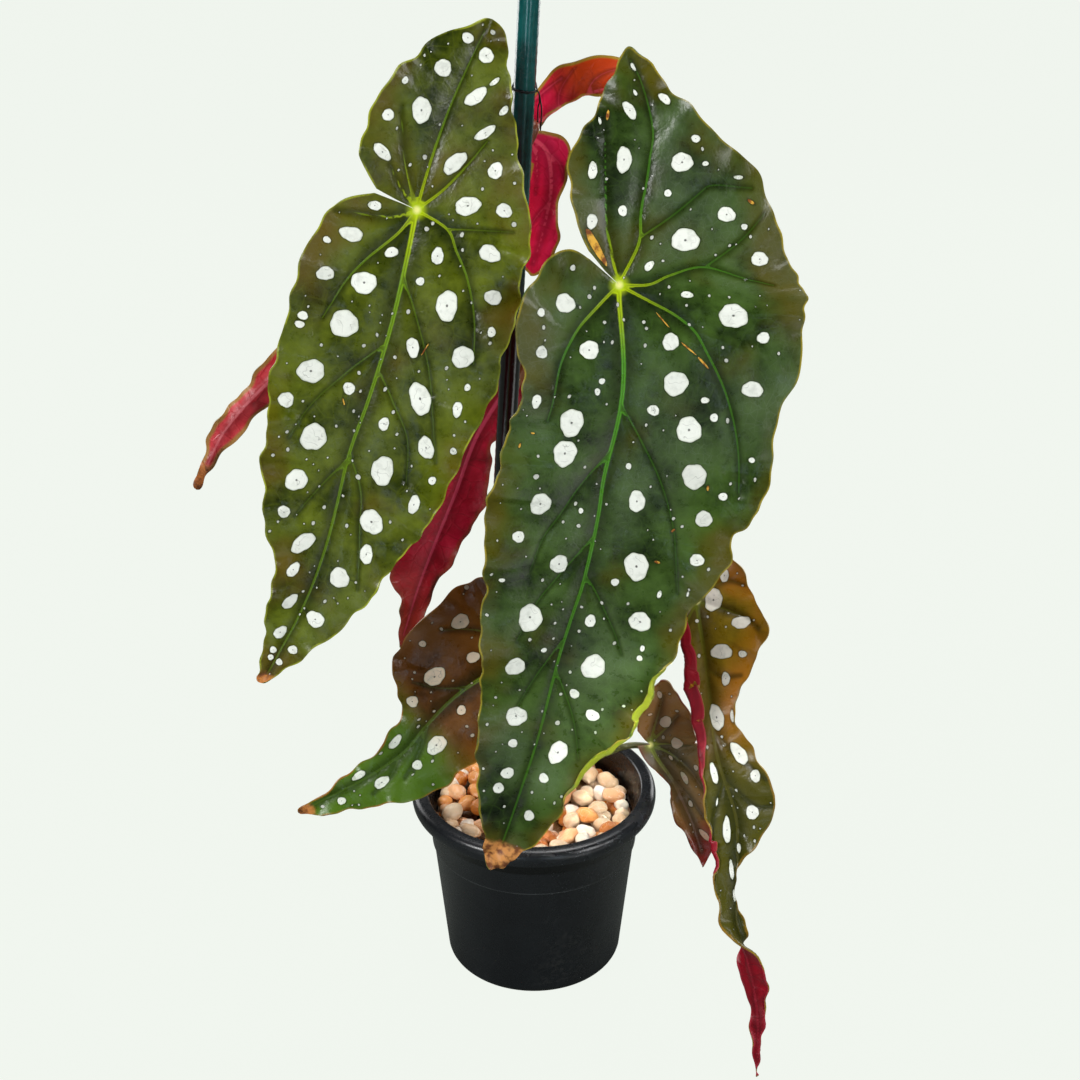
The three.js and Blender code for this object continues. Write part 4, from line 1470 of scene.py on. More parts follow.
LEAF_B = Leaf(
    "leaf_b", 6, "leaf_green",
    BladeForm(attach=2, face=(0, -1, 0), fold=5, wave=Wave(2.2, 42, 2.1), steady=22, spine=(
        (38, -24, 462, 0, -6, -10), (43, -40, 418, 0, 4, -6), (35, -58, 375, 0, 6, -4),
        (37, -66, 328, 0, 6, 0), (26, -70, 275, 0, 6, 6), (13, -72, 218, 0, 8, 8), (1, -75, 166, 0, 8, 8),
        (-18, -79, 103, 0, 10, 10),
    ), outline=(
        (-13.5, -8.7), (-22, -11.2), (-31, -6), (-39, 6), (-43, 18), (-42, 34), (-43, 52), (-45, 72),
        (-47, 92), (-46, 110), (-42, 130), (-38, 152), (-33.7, 175.2), (-29.4, 200.3), (-22.8, 230.5),
        (-13.7, 255.4), (-6.3, 273), (-2.3, 280.4), (3.3, 279.8), (7.6, 273.3), (12.2, 264.9), (17.3, 252.5),
        (21.3, 237.6), (27.7, 223.5), (32.7, 211.8), (41.2, 197.6), (45.9, 185.3), (47.6, 167.2),
        (48.4, 150.4), (49.6, 133.1), (53.3, 122.3), (57.7, 110.9), (59, 102.3), (57.7, 93.6), (65.1, 81.9),
        (65.6, 66.1), (63.5, 53.6), (67.8, 41.2), (73.2, 28), (74.8, 11.8), (74.8, -3), (70.7, -17),
        (57.9, -32.8), (50.4, -42.4), (44.2, -51.1), (32.5, -58.5), (20.2, -70.7), (13, -81.1), (1, -95),
        (-7, -87), (-13, -75), (-22, -64), (-29.5, -52), (-27.4, -36.1), (-21.9, -21.4), (-14.4, -11.6),
    )),
    upper=UpperFinish(
        "0a1605", "44601e", "524c0a", 0.16, 0.42, vein="56a028", dry_start=266, margin="9a8a2a",
        dry="cc8c4c",
    ),
    under=UnderFinish("5c0c12", "8c1622", margin="8c9c20", vein="b0604a", margin_band=10, dry_start=266),
    midribs=(
        (
            (0.5, 20), (-0.5, 50), (-1, 80), (1, 100), (2, 130), (1, 150), (0, 175), (0, 210), (0, 276),
        ),
    ),
    primaries=(
        ((-5, -12), (-10, -24), (-13, -38), (-14, -55), (-12, -70)),
        ((4, -12), (5, -20), (3, -32), (4, -50), (6, -62), (4, -80), (1, -90)),
        ((12, -1), (20, -6), (33, -12), (50, -9), (62, -7)),
        ((12, 6), (22, 12), (30, 20), (35, 30), (43, 45), (50, 60), (55, 75)),
        ((-8, 8), (-18, 18), (-25, 30), (-28, 42), (-30, 60)),
    ),
    branches=(
        ((5, -20), (15, -30), (25, -40), (30, -43), (46, -43)), ((33, -12), (44, -25), (52, -36)),
        ((-0.5, 50), (10, 63), (22, 78), (32, 95), (38, 112), (42, 125)),
        ((2, 128), (7, 133), (20, 150), (26, 160)),
        ((-0.8, 70), (-4, 76), (-10, 88), (-15, 102), (-20, 115), (-22, 130)),
        ((0, 175), (12, 195), (20, 215)), ((1, 110), (-8, 128), (-16, 146), (-20, 164)),
        ((0, 160), (-8, 180), (-14, 200)),
    ),
    spots=(
        (-12, -13.6, 1.5, 8, -42, 2), (-2.5, -70.5, 2, 4, -20), (1.5, -87.5, 0.7, 1.8, -20),
        (0.7, -77.3, 0.7, 1.3, -20), (12, -73.5, 1.6, 2.8, -40), (-15, -67.5, 0.6, 1.6),
        (-6.5, -50.5, 3, 5.5), (-19, -45, 1.9, 4.1), (22.7, -58, 1.8, 1.3), (17, -50, 4.4, 3.2),
        (26.3, -49.8, 1.3, 0.8), (40, -46, 1.9, 0.6), (12.3, -38.7, 1.5, 1.3), (-4.5, -29.3, 1.8, 2.2, -30),
        (37, -34, 3.8, 2.3), (45, -31, 1.4, 1), (-16, -22.7, 2.2, 3, -20), (23, -22.2, 5.9, 4.4, -10),
        (54, -20, 3.6, 3), (11, -9, 1.5, 2.4, 25), (16, -12, 0.6), (-19.8, -5, 1.1, 1), (-22, 7.2, 3.9, 3.3),
        (27.5, 2.6, 2.5, 1.6), (-32.3, 10, 1.5, 1.4), (-12.2, 4.8, 0.9), (46, 13, 5.4, 6.3, -15),
        (57.3, 23.5, 2.6, 2.2), (-33, 25, 2.2, 3, -10), (-13.5, 25.5, 4, 3.7), (20, 23.5, 3.2, 3.5),
        (9.8, 15, 0.8), (10.7, 17.7, 0.7), (-6.3, 14.7, 0.7), (42, 31.2, 0.9, 0.7), (52.5, 40.5, 4.1, 2.6),
        (-9.2, 39.3, 1.3, 1.4), (-11, 44, 1.2, 1.6), (21.3, 39.5, 5, 4.5), (33.5, 45, 1.7, 1.1),
        (-36, 49.5, 1.9, 3.8), (13, 50.3, 2.5, 2), (38, 50.7, 1.7, 1.4), (-20, 59.3, 4.8, 6.8, 5),
        (28.7, 56, 5.4, 4.4, 10), (-20, 74, 5, 5.7), (35.2, 72.8, 5.1, 4.8, 0, 0.8),
        (7.8, 74.8, 1.1, 1.5, -15), (49, 77.7, 2, 1.4), (56.7, 63, 1.3, 1), (15, 88.8, 3.5, 4.6, -15),
        (44, 89, 3.3, 3.7, 0, 0.78), (-29.6, 86.2, 1.2), (-10.2, 79, 0.6, 0.8), (-24.7, 98.3, 4.6, 4.8),
        (-7, 98.5, 1, 1.3), (-6.5, 105.3, 0.9), (46, 107.3, 3, 2.7), (-30.5, 114.7, 2.5, 2.7),
        (22, 117.3, 5.1, 6.5, -10), (-10.5, 124.5, 4, 4.3), (15, 127, 1.8), (34.6, 127.5, 1, 1.7),
        (46.3, 121, 0.6), (46.3, 123.4, 0.5, 1.5), (-33.5, 135, 1.4, 1), (29.8, 142, 4.6),
        (9.2, 148, 2.2, 3, -10), (-16.8, 152, 5.2, 6.4), (34, 154, 1, 1.3), (34, 158.7, 1.4, 1.3),
        (-7.5, 166.2, 1.3, 1.2), (-35, 154.3, 0.8), (15.5, 168.7, 5, 5.8), (-18.3, 175.7, 4.2, 4.4),
        (10.5, 184, 2.2, 2.3), (20.5, 191.8, 3, 2.8), (6.5, 199.7, 1, 1.2), (-12.3, 200.7, 4.5, 4.8),
        (-24.4, 206.3, 0.7, 1), (-10.7, 214, 2.2, 2.1), (10.3, 213.7, 3.9, 5.8), (-8.8, 229.7, 2.8, 3.1),
        (7.9, 227.8, 2.2, 2.3), (-10.5, 238.2, 2.5, 2.7), (7.2, 248.3, 2.3, 2.8), (32.7, 183.8, 0.8, 0.7),
        (5, 236.5, 0.6, 0.8), (16, 237.3, 0.5, 1), (17.5, 14.5, 0.22, 4.3, -36, 2),
        (27, 26.5, 0.3, 4, -47, 2), (32.5, 32, 0.4, 3, -44, 2), (-11.5, -69.5, 0.7, 2, 15, 2),
        (42, 76, 0.6, 1.2, -20, 2), (30, 113, 1.2, 0.6, 0, 2), (33, 98, 0.5, 1.1, 40, 2),
        (-39, 74, 0.4, 1.3, 0, 2), (-35, 67, 0.9, 0.4, 0, 2), (46, -39, 1.6, 0.5, 20, 2),
        (25, 215, 0.4, 1.2, 0, 2),
    ),
    specks=140,
    roll=Roll(1, (
        (148, 0), (160, 2.8), (172, 4.8), (188, 5.4), (197, 2.6), (206, 4.8), (218, 4.8), (232, 3.2),
        (244, 0),
    ), 1.0, 165),
)

LEAF_C = Leaf(
    "leaf_c", 7, "leaf_brown",
    BladeForm(attach=1, face=(0, -1, 0.4), fold=3, wave=Wave(1.8, 34, 1), spine=(
        (14, -34, 196, 0, 6, 6), (-1, -38, 187, 0, 6, 6), (-23, -42, 174, 0, 4, 6), (-48, -46, 153, 0, 0, 8),
        (-76, -50, 132, 0, 4, 8), (-109, -56, 117, 0, 10, 10),
    ), outline=(
        (-9, -13), (-20, -16), (-34, -12), (-45, -2), (-47, 14), (-44, 28), (-40, 40), (-34, 50), (-24, 57),
        (-15, 64), (-10, 78), (-8, 92), (-5, 110), (0, 130), (8, 112), (14, 96), (20, 80), (23, 65),
        (23, 50), (26, 36), (28, 18), (27, 1), (23, -11), (14, -20), (2, -19),
    )),
    upper=UpperFinish(
        "301a02", "7a4806", "804a06", 0.14, tip="4c6c18", tip_start=62, tip_end=84, vein="5a7a20",
        spot="e8d6bc", tip_spot="e8eee0", margin="9a6a24", dry_start=124,
    ),
    under=UnderFinish(margin="8a4a22", dry_start=124),
    midribs=(
        ((-5, 18), (-6, 40), (-4, 58), (-1, 72), (-1, 90), (-1, 110), (0, 126)),
    ),
    primaries=(
        ((-12, 4), (-24, 12), (-34, 24)), ((8, 12), (13, 26), (17, 42)),
    ),
    branches=(
        ((0, 0), (-14, -6), (-30, -6)), ((0, 0), (12, 0), (22, 6)), ((-6, 30), (-14, 40), (-24, 47)),
        ((-4, 56), (3, 66), (9, 80)), ((-1, 75), (4, 84), (7, 96)),
    ),
    spots=(
        (-33, 17, 3.6, 3.3), (-45, 7.7, 1.1, 1.2), (-43, 10.5, 0.4), (-16, 20.5, 2.5, 2.6, 20),
        (-35, 24, 1, 0.5), (-40, 25, 0.4), (-34.7, 32.3, 1.6, 1.3), (-19.5, 37.7, 4, 4.8),
        (0.5, 39, 2.1, 2.3), (12.5, 42.8, 0.8, 1), (-27, 43, 0.6), (-25.4, 46, 0.5), (-17.3, 53.7, 2.9, 2.8),
        (5.7, 58.4, 3.7, 5, -10), (-8.8, 57.3, 0.5, 1), (-6.4, 59.8, 0.5, 1), (7.5, 71.7, 2.2, 2.5),
        (-7.3, 73, 1.9, 4, -10), (-7.1, 82, 0.6, 1.1), (4.5, 89.8, 2.4, 3.7, -8), (-3.7, 97.3, 1.4, 3.8),
        (3.3, 110, 1.8, 1.9), (1.7, 102.7, 0.5), (9.8, 76, 0.4, 0.8),
    ),
    specks=34,
)

LEAF_D = Leaf(
    "leaf_d", 8, "leaf_brown",
    BladeForm(attach=1, face=(-0.15, -1, 0.25), fold=8, wave=Wave(1.6, 38, 0), spine=(
        (77, -8, 226, 0, 12, 6), (75, -20, 209, 0, 16, 4), (77, -40, 187, 0, 24, 4),
        (80, -56, 159, 0, 30, 6), (86, -71, 134, 0, 24, 8), (92, -84, 108, 0, 16, 12),
        (93, -92, 82, 40, 10, 10), (97, -97, 66, 130, 8, 10), (103, -102, 38, 175, 8, 10),
        (104, -108, 6, 185, 10, 12),
    ), outline=(
        (-14, 0), (-17, 9), (-14.6, 20), (-16.5, 36), (-13.2, 60), (-9.2, 84), (-9, 98), (-12, 104),
        (-14.4, 110), (-11.9, 121.7), (-10.4, 132.9), (-10.2, 146.9), (-9, 162), (-9, 174), (-4, 190),
        (-2, 212), (0, 228), (2, 212), (4, 198), (5, 185), (6, 167), (3, 156), (0.9, 142.2), (-0.6, 126.3),
        (5.5, 116.8), (16, 108.6), (24.3, 96.5), (24.8, 88.6), (18.5, 74), (14.6, 60.3), (13.7, 47.7),
        (19.2, 37.7), (26.2, 28.5), (31.7, 18.7), (28.3, 4.9), (24.3, -8.9), (15.9, -19.7), (3, -25),
        (-5, -19), (-8, -7),
    )),
    upper=UpperFinish(
        "5c4e0c", "a08418", "ac6c12", 0.24, tip="4c4a10", tip_start=56, tip_end=104, vein="5a5614",
        spot="f6f2e4", tip_spot="f2f4ea", margin="8a6a24", star="606a1a",
    ),
    under=UnderFinish("6c0012", "9c001c", margin="a02838", margin_band=1.0, vein="b02a3c"),
    roll=Roll(-1, (
        (-4, 0), (0, 5), (9, 7.6), (20, 6.4), (30, 8.4), (36, 9), (60, 7), (83, 2.7), (98, 0.7), (104, 3),
        (110, 5), (122, 3), (133, 0.3),
    ), 0.9, 172),
    pitch=1.0,
    midribs=(
        ((2, 40), (2, 75), (4, 100), (1, 118), (0, 130), (-1, 160), (0, 190), (0, 226)),
    ),
    primaries=(
        ((12, -10), (22, -9)), ((10, 4), (20, 10), (28, 18)), ((3, -12), (4, -22)), ((-6, 12), (-10, 28)),
    ),
    branches=(
        ((2, 32), (8, 36), (17, 36)), ((2, 60), (12, 75), (22, 86)), ((3, 84), (14, 97), (22, 98)),
        ((2, 50), (-5, 62), (-11, 76)), ((2, 84), (-4, 94), (-9, 106)),
    ),
    spots=(
        (12, -13, 2.2, 3), (7.8, 0, 4, 6, 15), (20, 13.5, 4.2, 3.3), (9.5, 25.3, 5.3, 3, 8),
        (19, 27.3, 2, 1.3), (10.2, 37, 1.9, 3, 10), (-0.7, 9.5, 0.9), (21, -8.5, 0.6), (26, 13.5, 0.5),
        (18, -14.7, 0.4), (4.5, 54, 3.3, 6, -12), (12, 54, 0.8, 3), (12, 72.5, 3, 5.6, -20),
        (17.5, 83.8, 2.5, 2.7), (-1.5, 79, 1.6, 4.7), (5.7, 63.3, 0.7), (-2, 67, 0.5, 0.9),
        (-3, 92, 0.5, 1.8, 20), (12.2, 99.5, 3), (-1.4, 105, 1.8, 6, 10), (2.6, 114, 1.1, 2.3, 10),
        (-2.7, 123.5, 1, 4.5), (-1.8, 136, 0.8, 2.8, -5), (14, 107, 0.4), (21.5, 96.5, 0.4),
    ),
    specks=40,
)

LEAF_E = Leaf(
    "leaf_e", 9, "leaf_brown",
    BladeForm(attach=1, face=(0.1, -1, 0.5), fold=18, wave=Wave(0.9, 26, 0.3), spine=(
        (60, 6, 146, 0, 4, 4), (57, 4, 116, 0, 4, 4), (66, -5, 95, 0, 4, 4), (76, -15, 77, 0, 8, 8),
        (83, -23, 61, 0, 14, 14),
    ), outline=(
        (-7, -1), (-4, 8), (1, 21), (-2, 32), (-3, 44), (-2, 54), (0, 66), (8, 58), (16, 47), (21, 33),
        (24, 17), (23, -2), (20, -18), (13, -28), (4, -36), (-4, -30), (-8, -18), (-7, -8),
    )),
    upper=UpperFinish(
        "584a26", "88724a", "865c2c", 0.2, tip="6e1a0c", tip_start=52, tip_end=72, vein="7e5e4e",
        star="77852c", spot="b8a48e", tip_spot="b58a72", margin="6a2a16",
    ),
    under=UnderFinish(),
    midribs=(((4, 20), (4, 40), (2, 58)),),
    primaries=(
        ((2, -12), (3, -28)), ((7, -10), (12, -20)), ((8, 6), (14, 20), (17, 36)), ((10, 0), (19, 4)),
    ),
    branches=(((4, 20), (8, 30), (10, 44)),),
    spots=(
        (1.2, -28.3, 1.3, 2, -15), (6, -30, 0.6, 0.8), (11, -22, 0.9, 0.7), (6.8, -14.5, 2.8, 3.3, 10),
        (13.3, -0.7, 3, 5.3), (-5, -24, 0.7, 1.2), (-2, -17, 1.3, 0.7), (6.7, -5, 0.8, 1.2),
        (8.2, 9.8, 0.7, 1.7, -10), (10.3, 22, 1.2, 3, -5), (17.5, 20, 1, 1.4), (7.4, 35, 0.9, 1.8, 0, 0.55),
        (7, 51, 1.4, 3.2, -20),
    ),
    specks=14,
)

LEAF_F = Leaf(
    "leaf_f", 10, "leaf_crimson",
    BladeForm(attach=1, face=(0, 1, 0), fold=4, wave=Wave(1.8, 36, 1.5), spine=(
        (3, 24, 346, 0, 8, 8), (-2, 26, 316, 0, 6, 6), (-12, 26, 290, 0, 4, 4), (-26, 26, 256, 0, 4, 4),
        (-39, 24, 223, 0, 6, 6), (-52, 22, 191, 0, 6, 6), (-65, 20, 162, 0, 10, 10),
    ), outline=(
        (-9, -8), (-11, 4), (-9, 20), (-5, 34), (-3, 50), (-6, 62), (-9, 78), (-9, 94), (-7, 110), (-4, 124),
        (-4, 140), (-4, 148), (-3, 158), (0, 167), (5, 154), (9, 143), (16, 140), (20, 132), (22, 122),
        (21, 108), (20, 90), (21, 72), (21, 54), (20, 38), (18, 20), (15, 4), (12, -8), (7, -20), (0, -30),
        (-6, -24), (-7, -15),
    )),
    upper=UpperFinish("202b04", "4f5a08", "5a4608", 0.2, margin="8a5a24"),
    under=UnderFinish(
        "6c0412", "a80c2c", vein="c0405c", margin="7a2a1c", margin_band=2.5,
        tip="80200f", tip_start=116, tip_end=172,
    ),
    midribs=(((2, 20), (6, 50), (5, 80), (5, 110), (4, 135), (1, 160)),),
    primaries=(((1, -12), (0, -26)), ((8, 12), (13, 28)), ((-4, 8), (-6, 18))),
    rib_gap=22,
    spot_gap=12,
    specks=30,
)

LEAF_G = Leaf(
    "leaf_g", 11, "leaf_crimson",
    BladeForm(attach=1, face=(0, 1, 0), fold=14, wave=Wave(1.4, 32, 0.8), spine=(
        (-46, 10, 361, 0, 8, 8), (-59, 8, 350, 0, 8, 8), (-85, 4, 334, 0, 8, 8), (-110, 0, 316, 0, 8, 8),
        (-133, -6, 291, 0, 14, 14), (-151, -12, 263, 0, 20, 20),
    ), outline=(
        (7, -9), (15, 0), (16, 16), (13, 36), (9, 54), (8, 70), (7, 86), (7, 104), (5, 118), (0, 130),
        (-2, 118), (-4, 100), (-8, 82), (-14, 66), (-20, 46), (-22, 24), (-19, 7), (-15, -5), (-8, -16),
        (0, -20), (5, -17),
    )),
    upper=UpperFinish("202b04", "4f5a08", "5a4608", 0.2, margin="9a6a2c", dry_start=118),
    under=UnderFinish(
        "a61c24", "e04a52", vein="d67a80", margin="9a7a3a", margin_band=2.4, dry_start=118,
    ),
    midribs=(((-1, 24), (-1, 50), (1, 80), (2, 104), (0, 126)),),
    primaries=(((-2, -16),), ((7, 10), (10, 24)), ((-8, 10), (-14, 26))),
    rib_gap=20,
    spot_gap=12,
    specks=24,
)

LEAF_H = Leaf(
    "leaf_h", 12, "leaf_crimson",
    BladeForm(attach=4, face=(0, 1, 0), fold=5, wave=Wave(1.2, 34, 0.5), spine=(
        (-1, 22, 351, 0, 6, 6), (5, 24, 369, 0, 6, 6), (8, 24, 389, 0, 6, 6), (6, 22, 407, 0, 6, 6),
        (-2, 20, 417, 0, 6, 8), (13, 22, 427, 0, 8, 60), (29, 21, 435, 0, 8, 60), (43, 18, 433, 0, 8, 60),
        (54, 14, 420, 0, 10, 60),
    ), outline=(
        (-9, 6), (-13.8, 17.1), (-15.9, 23.4), (-14.2, 34.6), (-11.9, 41.8), (-6, 56), (0, 66), (4, 58),
        (2.1, 46.1), (2.4, 36.5), (0.8, 22.6), (1.2, 10.7), (3, -2), (9.6, -12), (7.5, -22), (4.5, -34),
        (5, -46), (6.5, -56), (5, -64), (0, -72), (-7, -67), (-11, -55), (-12, -43), (-11, -30), (-8, -18),
    )),
    upper=UpperFinish("202b04", "4f5a08", "70551c", 0.24, margin="8a5a24"),
    under=UnderFinish(
        "d80a38", "ff2460", vein="ff5a78", margin="a8902c", margin_band=1.6,
        tip="d04008", tip_start=20, tip_end=38,
    ),
    midribs=(((1, 20), (0.5, 40), (0, 60)), ((0, -24), (-1, -48), (-1, -66))),
    primaries=(((-8, 8), (-11, 24)), ((-5, -14), (-7, -34))),
    branches=(
        ((0, 16), (-6, 20), (-12, 30)), ((0, 30), (-5, 36), (-9, 46)),
        ((0, -14), (5, -22), (6, -36)), ((0, -36), (-5, -44), (-8, -54)),
    ),
    spot_gap=10,
    specks=16,
    groove=-0.4,
)

LEAVES = (LEAF_A, LEAF_B, LEAF_C, LEAF_D, LEAF_E, LEAF_F, LEAF_G, LEAF_H)


# Canes and petioles


@dataclass
class Stems:
    """A cane with the petioles that leave it."""

    name: str
    trunk: Points
    petioles: dict[str, tuple[Place, ...]]
    joints: tuple[float, ...]
    skin: tuple[str, str] = ("464f18", "767228")
    near_blade: str = "8c2c1e"
    bud: bool = False
    radius: float = 3.6
    petiole_radius: float = 2.4
    inset: float = 3.0
    approach: float = 7.0
    blade_gap: float = 0.55
    voxel: float = 0.75
    # The bud and its two sheaths, each as how far it reaches and its thickness
    bud_shapes: tuple = (((0.4, 0.4, 12.0), 2.5), ((-1.4, 0.6, 8.0), 1.5), ((1.5, 0.9, 7.0), 1.4))

    def build(self, forms: dict[str, BladeForm], groups: Groups) -> None:
        """Makes the stems as one grown piece, and dresses it.

        Args:
            forms: The blades' sheets, which the petioles end at.
            groups: The shared node groups.
        """
        parts, feet = [], []
        if len(self.trunk):
            route = SmoothLine(self.trunk, by_distance=True).spaced(2.0)
            away = np.abs(route[:, 2:3] - np.array(self.joints)).min(axis=1)
            swell = 1 + 0.2 * np.exp(-((away / 3.4) ** 2)) + 0.05 * np.sin(route[:, 2] / 9)
            parts.append(tube(self.name + "_trunk", route, self.radius * swell))
            if self.bud:
                parts.extend(self._bud(route[-1]))
        for leaf, way in self.petioles.items():
            flat = np.array([[0.0, self.inset]])
            foot, out = forms[leaf].place(flat)[0], forms[leaf].normal(flat)[0]
            stops = [*way, foot - out * self.approach, foot - out * self.blade_gap]
            route = SmoothLine(np.array(stops, float), by_distance=True).spaced(1.6)
            run, back = (np.linalg.norm(route - end, axis=1) for end in (route[0], route[-1]))
            radii = self.petiole_radius * (1 + 0.5 * np.exp(-run / 6) + 0.3 * np.exp(-back / 3))
            parts.append(tube(self.name + "_" + leaf, route, radii))
            feet.append(foot)
        piece = joined(self.name + "_grown", parts)
        modify(piece, "REMESH", mode="VOXEL", voxel_size=self.voxel * MM)
        modify(piece, "SMOOTH", factor=0.5, iterations=3)
        self._store(piece, np.array(feet))
        seat(piece, self.name, "stem", 60, self._material(groups))

    def _bud(self, top: Points) -> list[Piece]:
        """Makes the folded young growth at the cane's end.

        Args:
            top: The cane's last point.

        Returns:
            The bud and its two sheaths.
        """
        rise = np.linspace(0, 1, 9)[:, None]
        made = []
        for number, (reach, thick) in enumerate(self.bud_shapes):
            start = top - np.array([0.0, 0.0, 4.0])
            route = start + rise * np.array(reach) + rise * (1 - rise) * np.array([reach[0], 0, 0])
            radii = thick * (np.sin(math.pi * (0.25 + 0.72 * rise[:, 0])) + 0.06)
            made.append(tube(f"{self.name}_bud_{number}", route, radii))
        return made

    def _store(self, piece: Piece, feet: Points) -> None:
        """Stores how far each point is from a joint of the cane, and how near to a blade.

        Args:
            piece: The stems.
            feet: Where the petioles join the blades.
        """
        points = read_places(piece) / MM
        joint = np.full(len(points), 30.0)
        if len(self.trunk):
            line = SmoothLine(self.trunk, by_distance=True).spaced(2.0)
            for height in self.joints:
                centre = line[np.abs(line[:, 2] - height).argmin()]
                near = np.linalg.norm(points - centre, axis=1) < 9
                joint[near] = np.minimum(joint[near], np.abs(points[near, 2] - height))
        give_numbers(piece, "joint_away", "POINT", joint)
        gap = np.linalg.norm(points[:, None] - feet[None], axis=2).min(axis=1)
        give_numbers(piece, "blade_away", "POINT", gap)

    def _material(self, groups: Groups) -> Material:
        """Makes green to brown stem skin with pale pores, rings at the joints and redder petioles.

        Args:
            groups: The shared node groups.

        Returns:
            The material.
        """
        desk = Surface(self.name + "_skin")
        vector = desk.here()
        patches = desk.pattern(groups.mottle, vector, 55.0)
        coat = Coat(desk, desk.blend(patches["Mask"], *self.skin))
        fibre = desk.noise(desk.stretched(vector, 0.22), 900.0, 3.0)
        coat.lay(desk.ease(fibre, 0.4, 0.68, 0.0, 0.3), "8d6a35")
        coat.lay(desk.ease(desk.fetch("blade_away"), 4.0, 34.0, 0.75, 0.1), self.near_blade)
        coat.lay(desk.fade(desk.fetch("joint_away"), 0.4, 2.6, 0.8), "5a3d20")
        pores = desk.fade(desk.cells(vector, 420.0).outputs["Distance"], 0.12, 0.24, 0.75)
        coat.lay(pores, "c9bf8e")
        height = desk.plus(desk.pattern(groups.skin, vector, 900.0)["Height"], pores, 1.4)
        return desk.dress(coat.colour, desk.grained(patches, 0.34, 0.52), (0.5, 0.0004, height))


# Pot, potting mix and pebbles


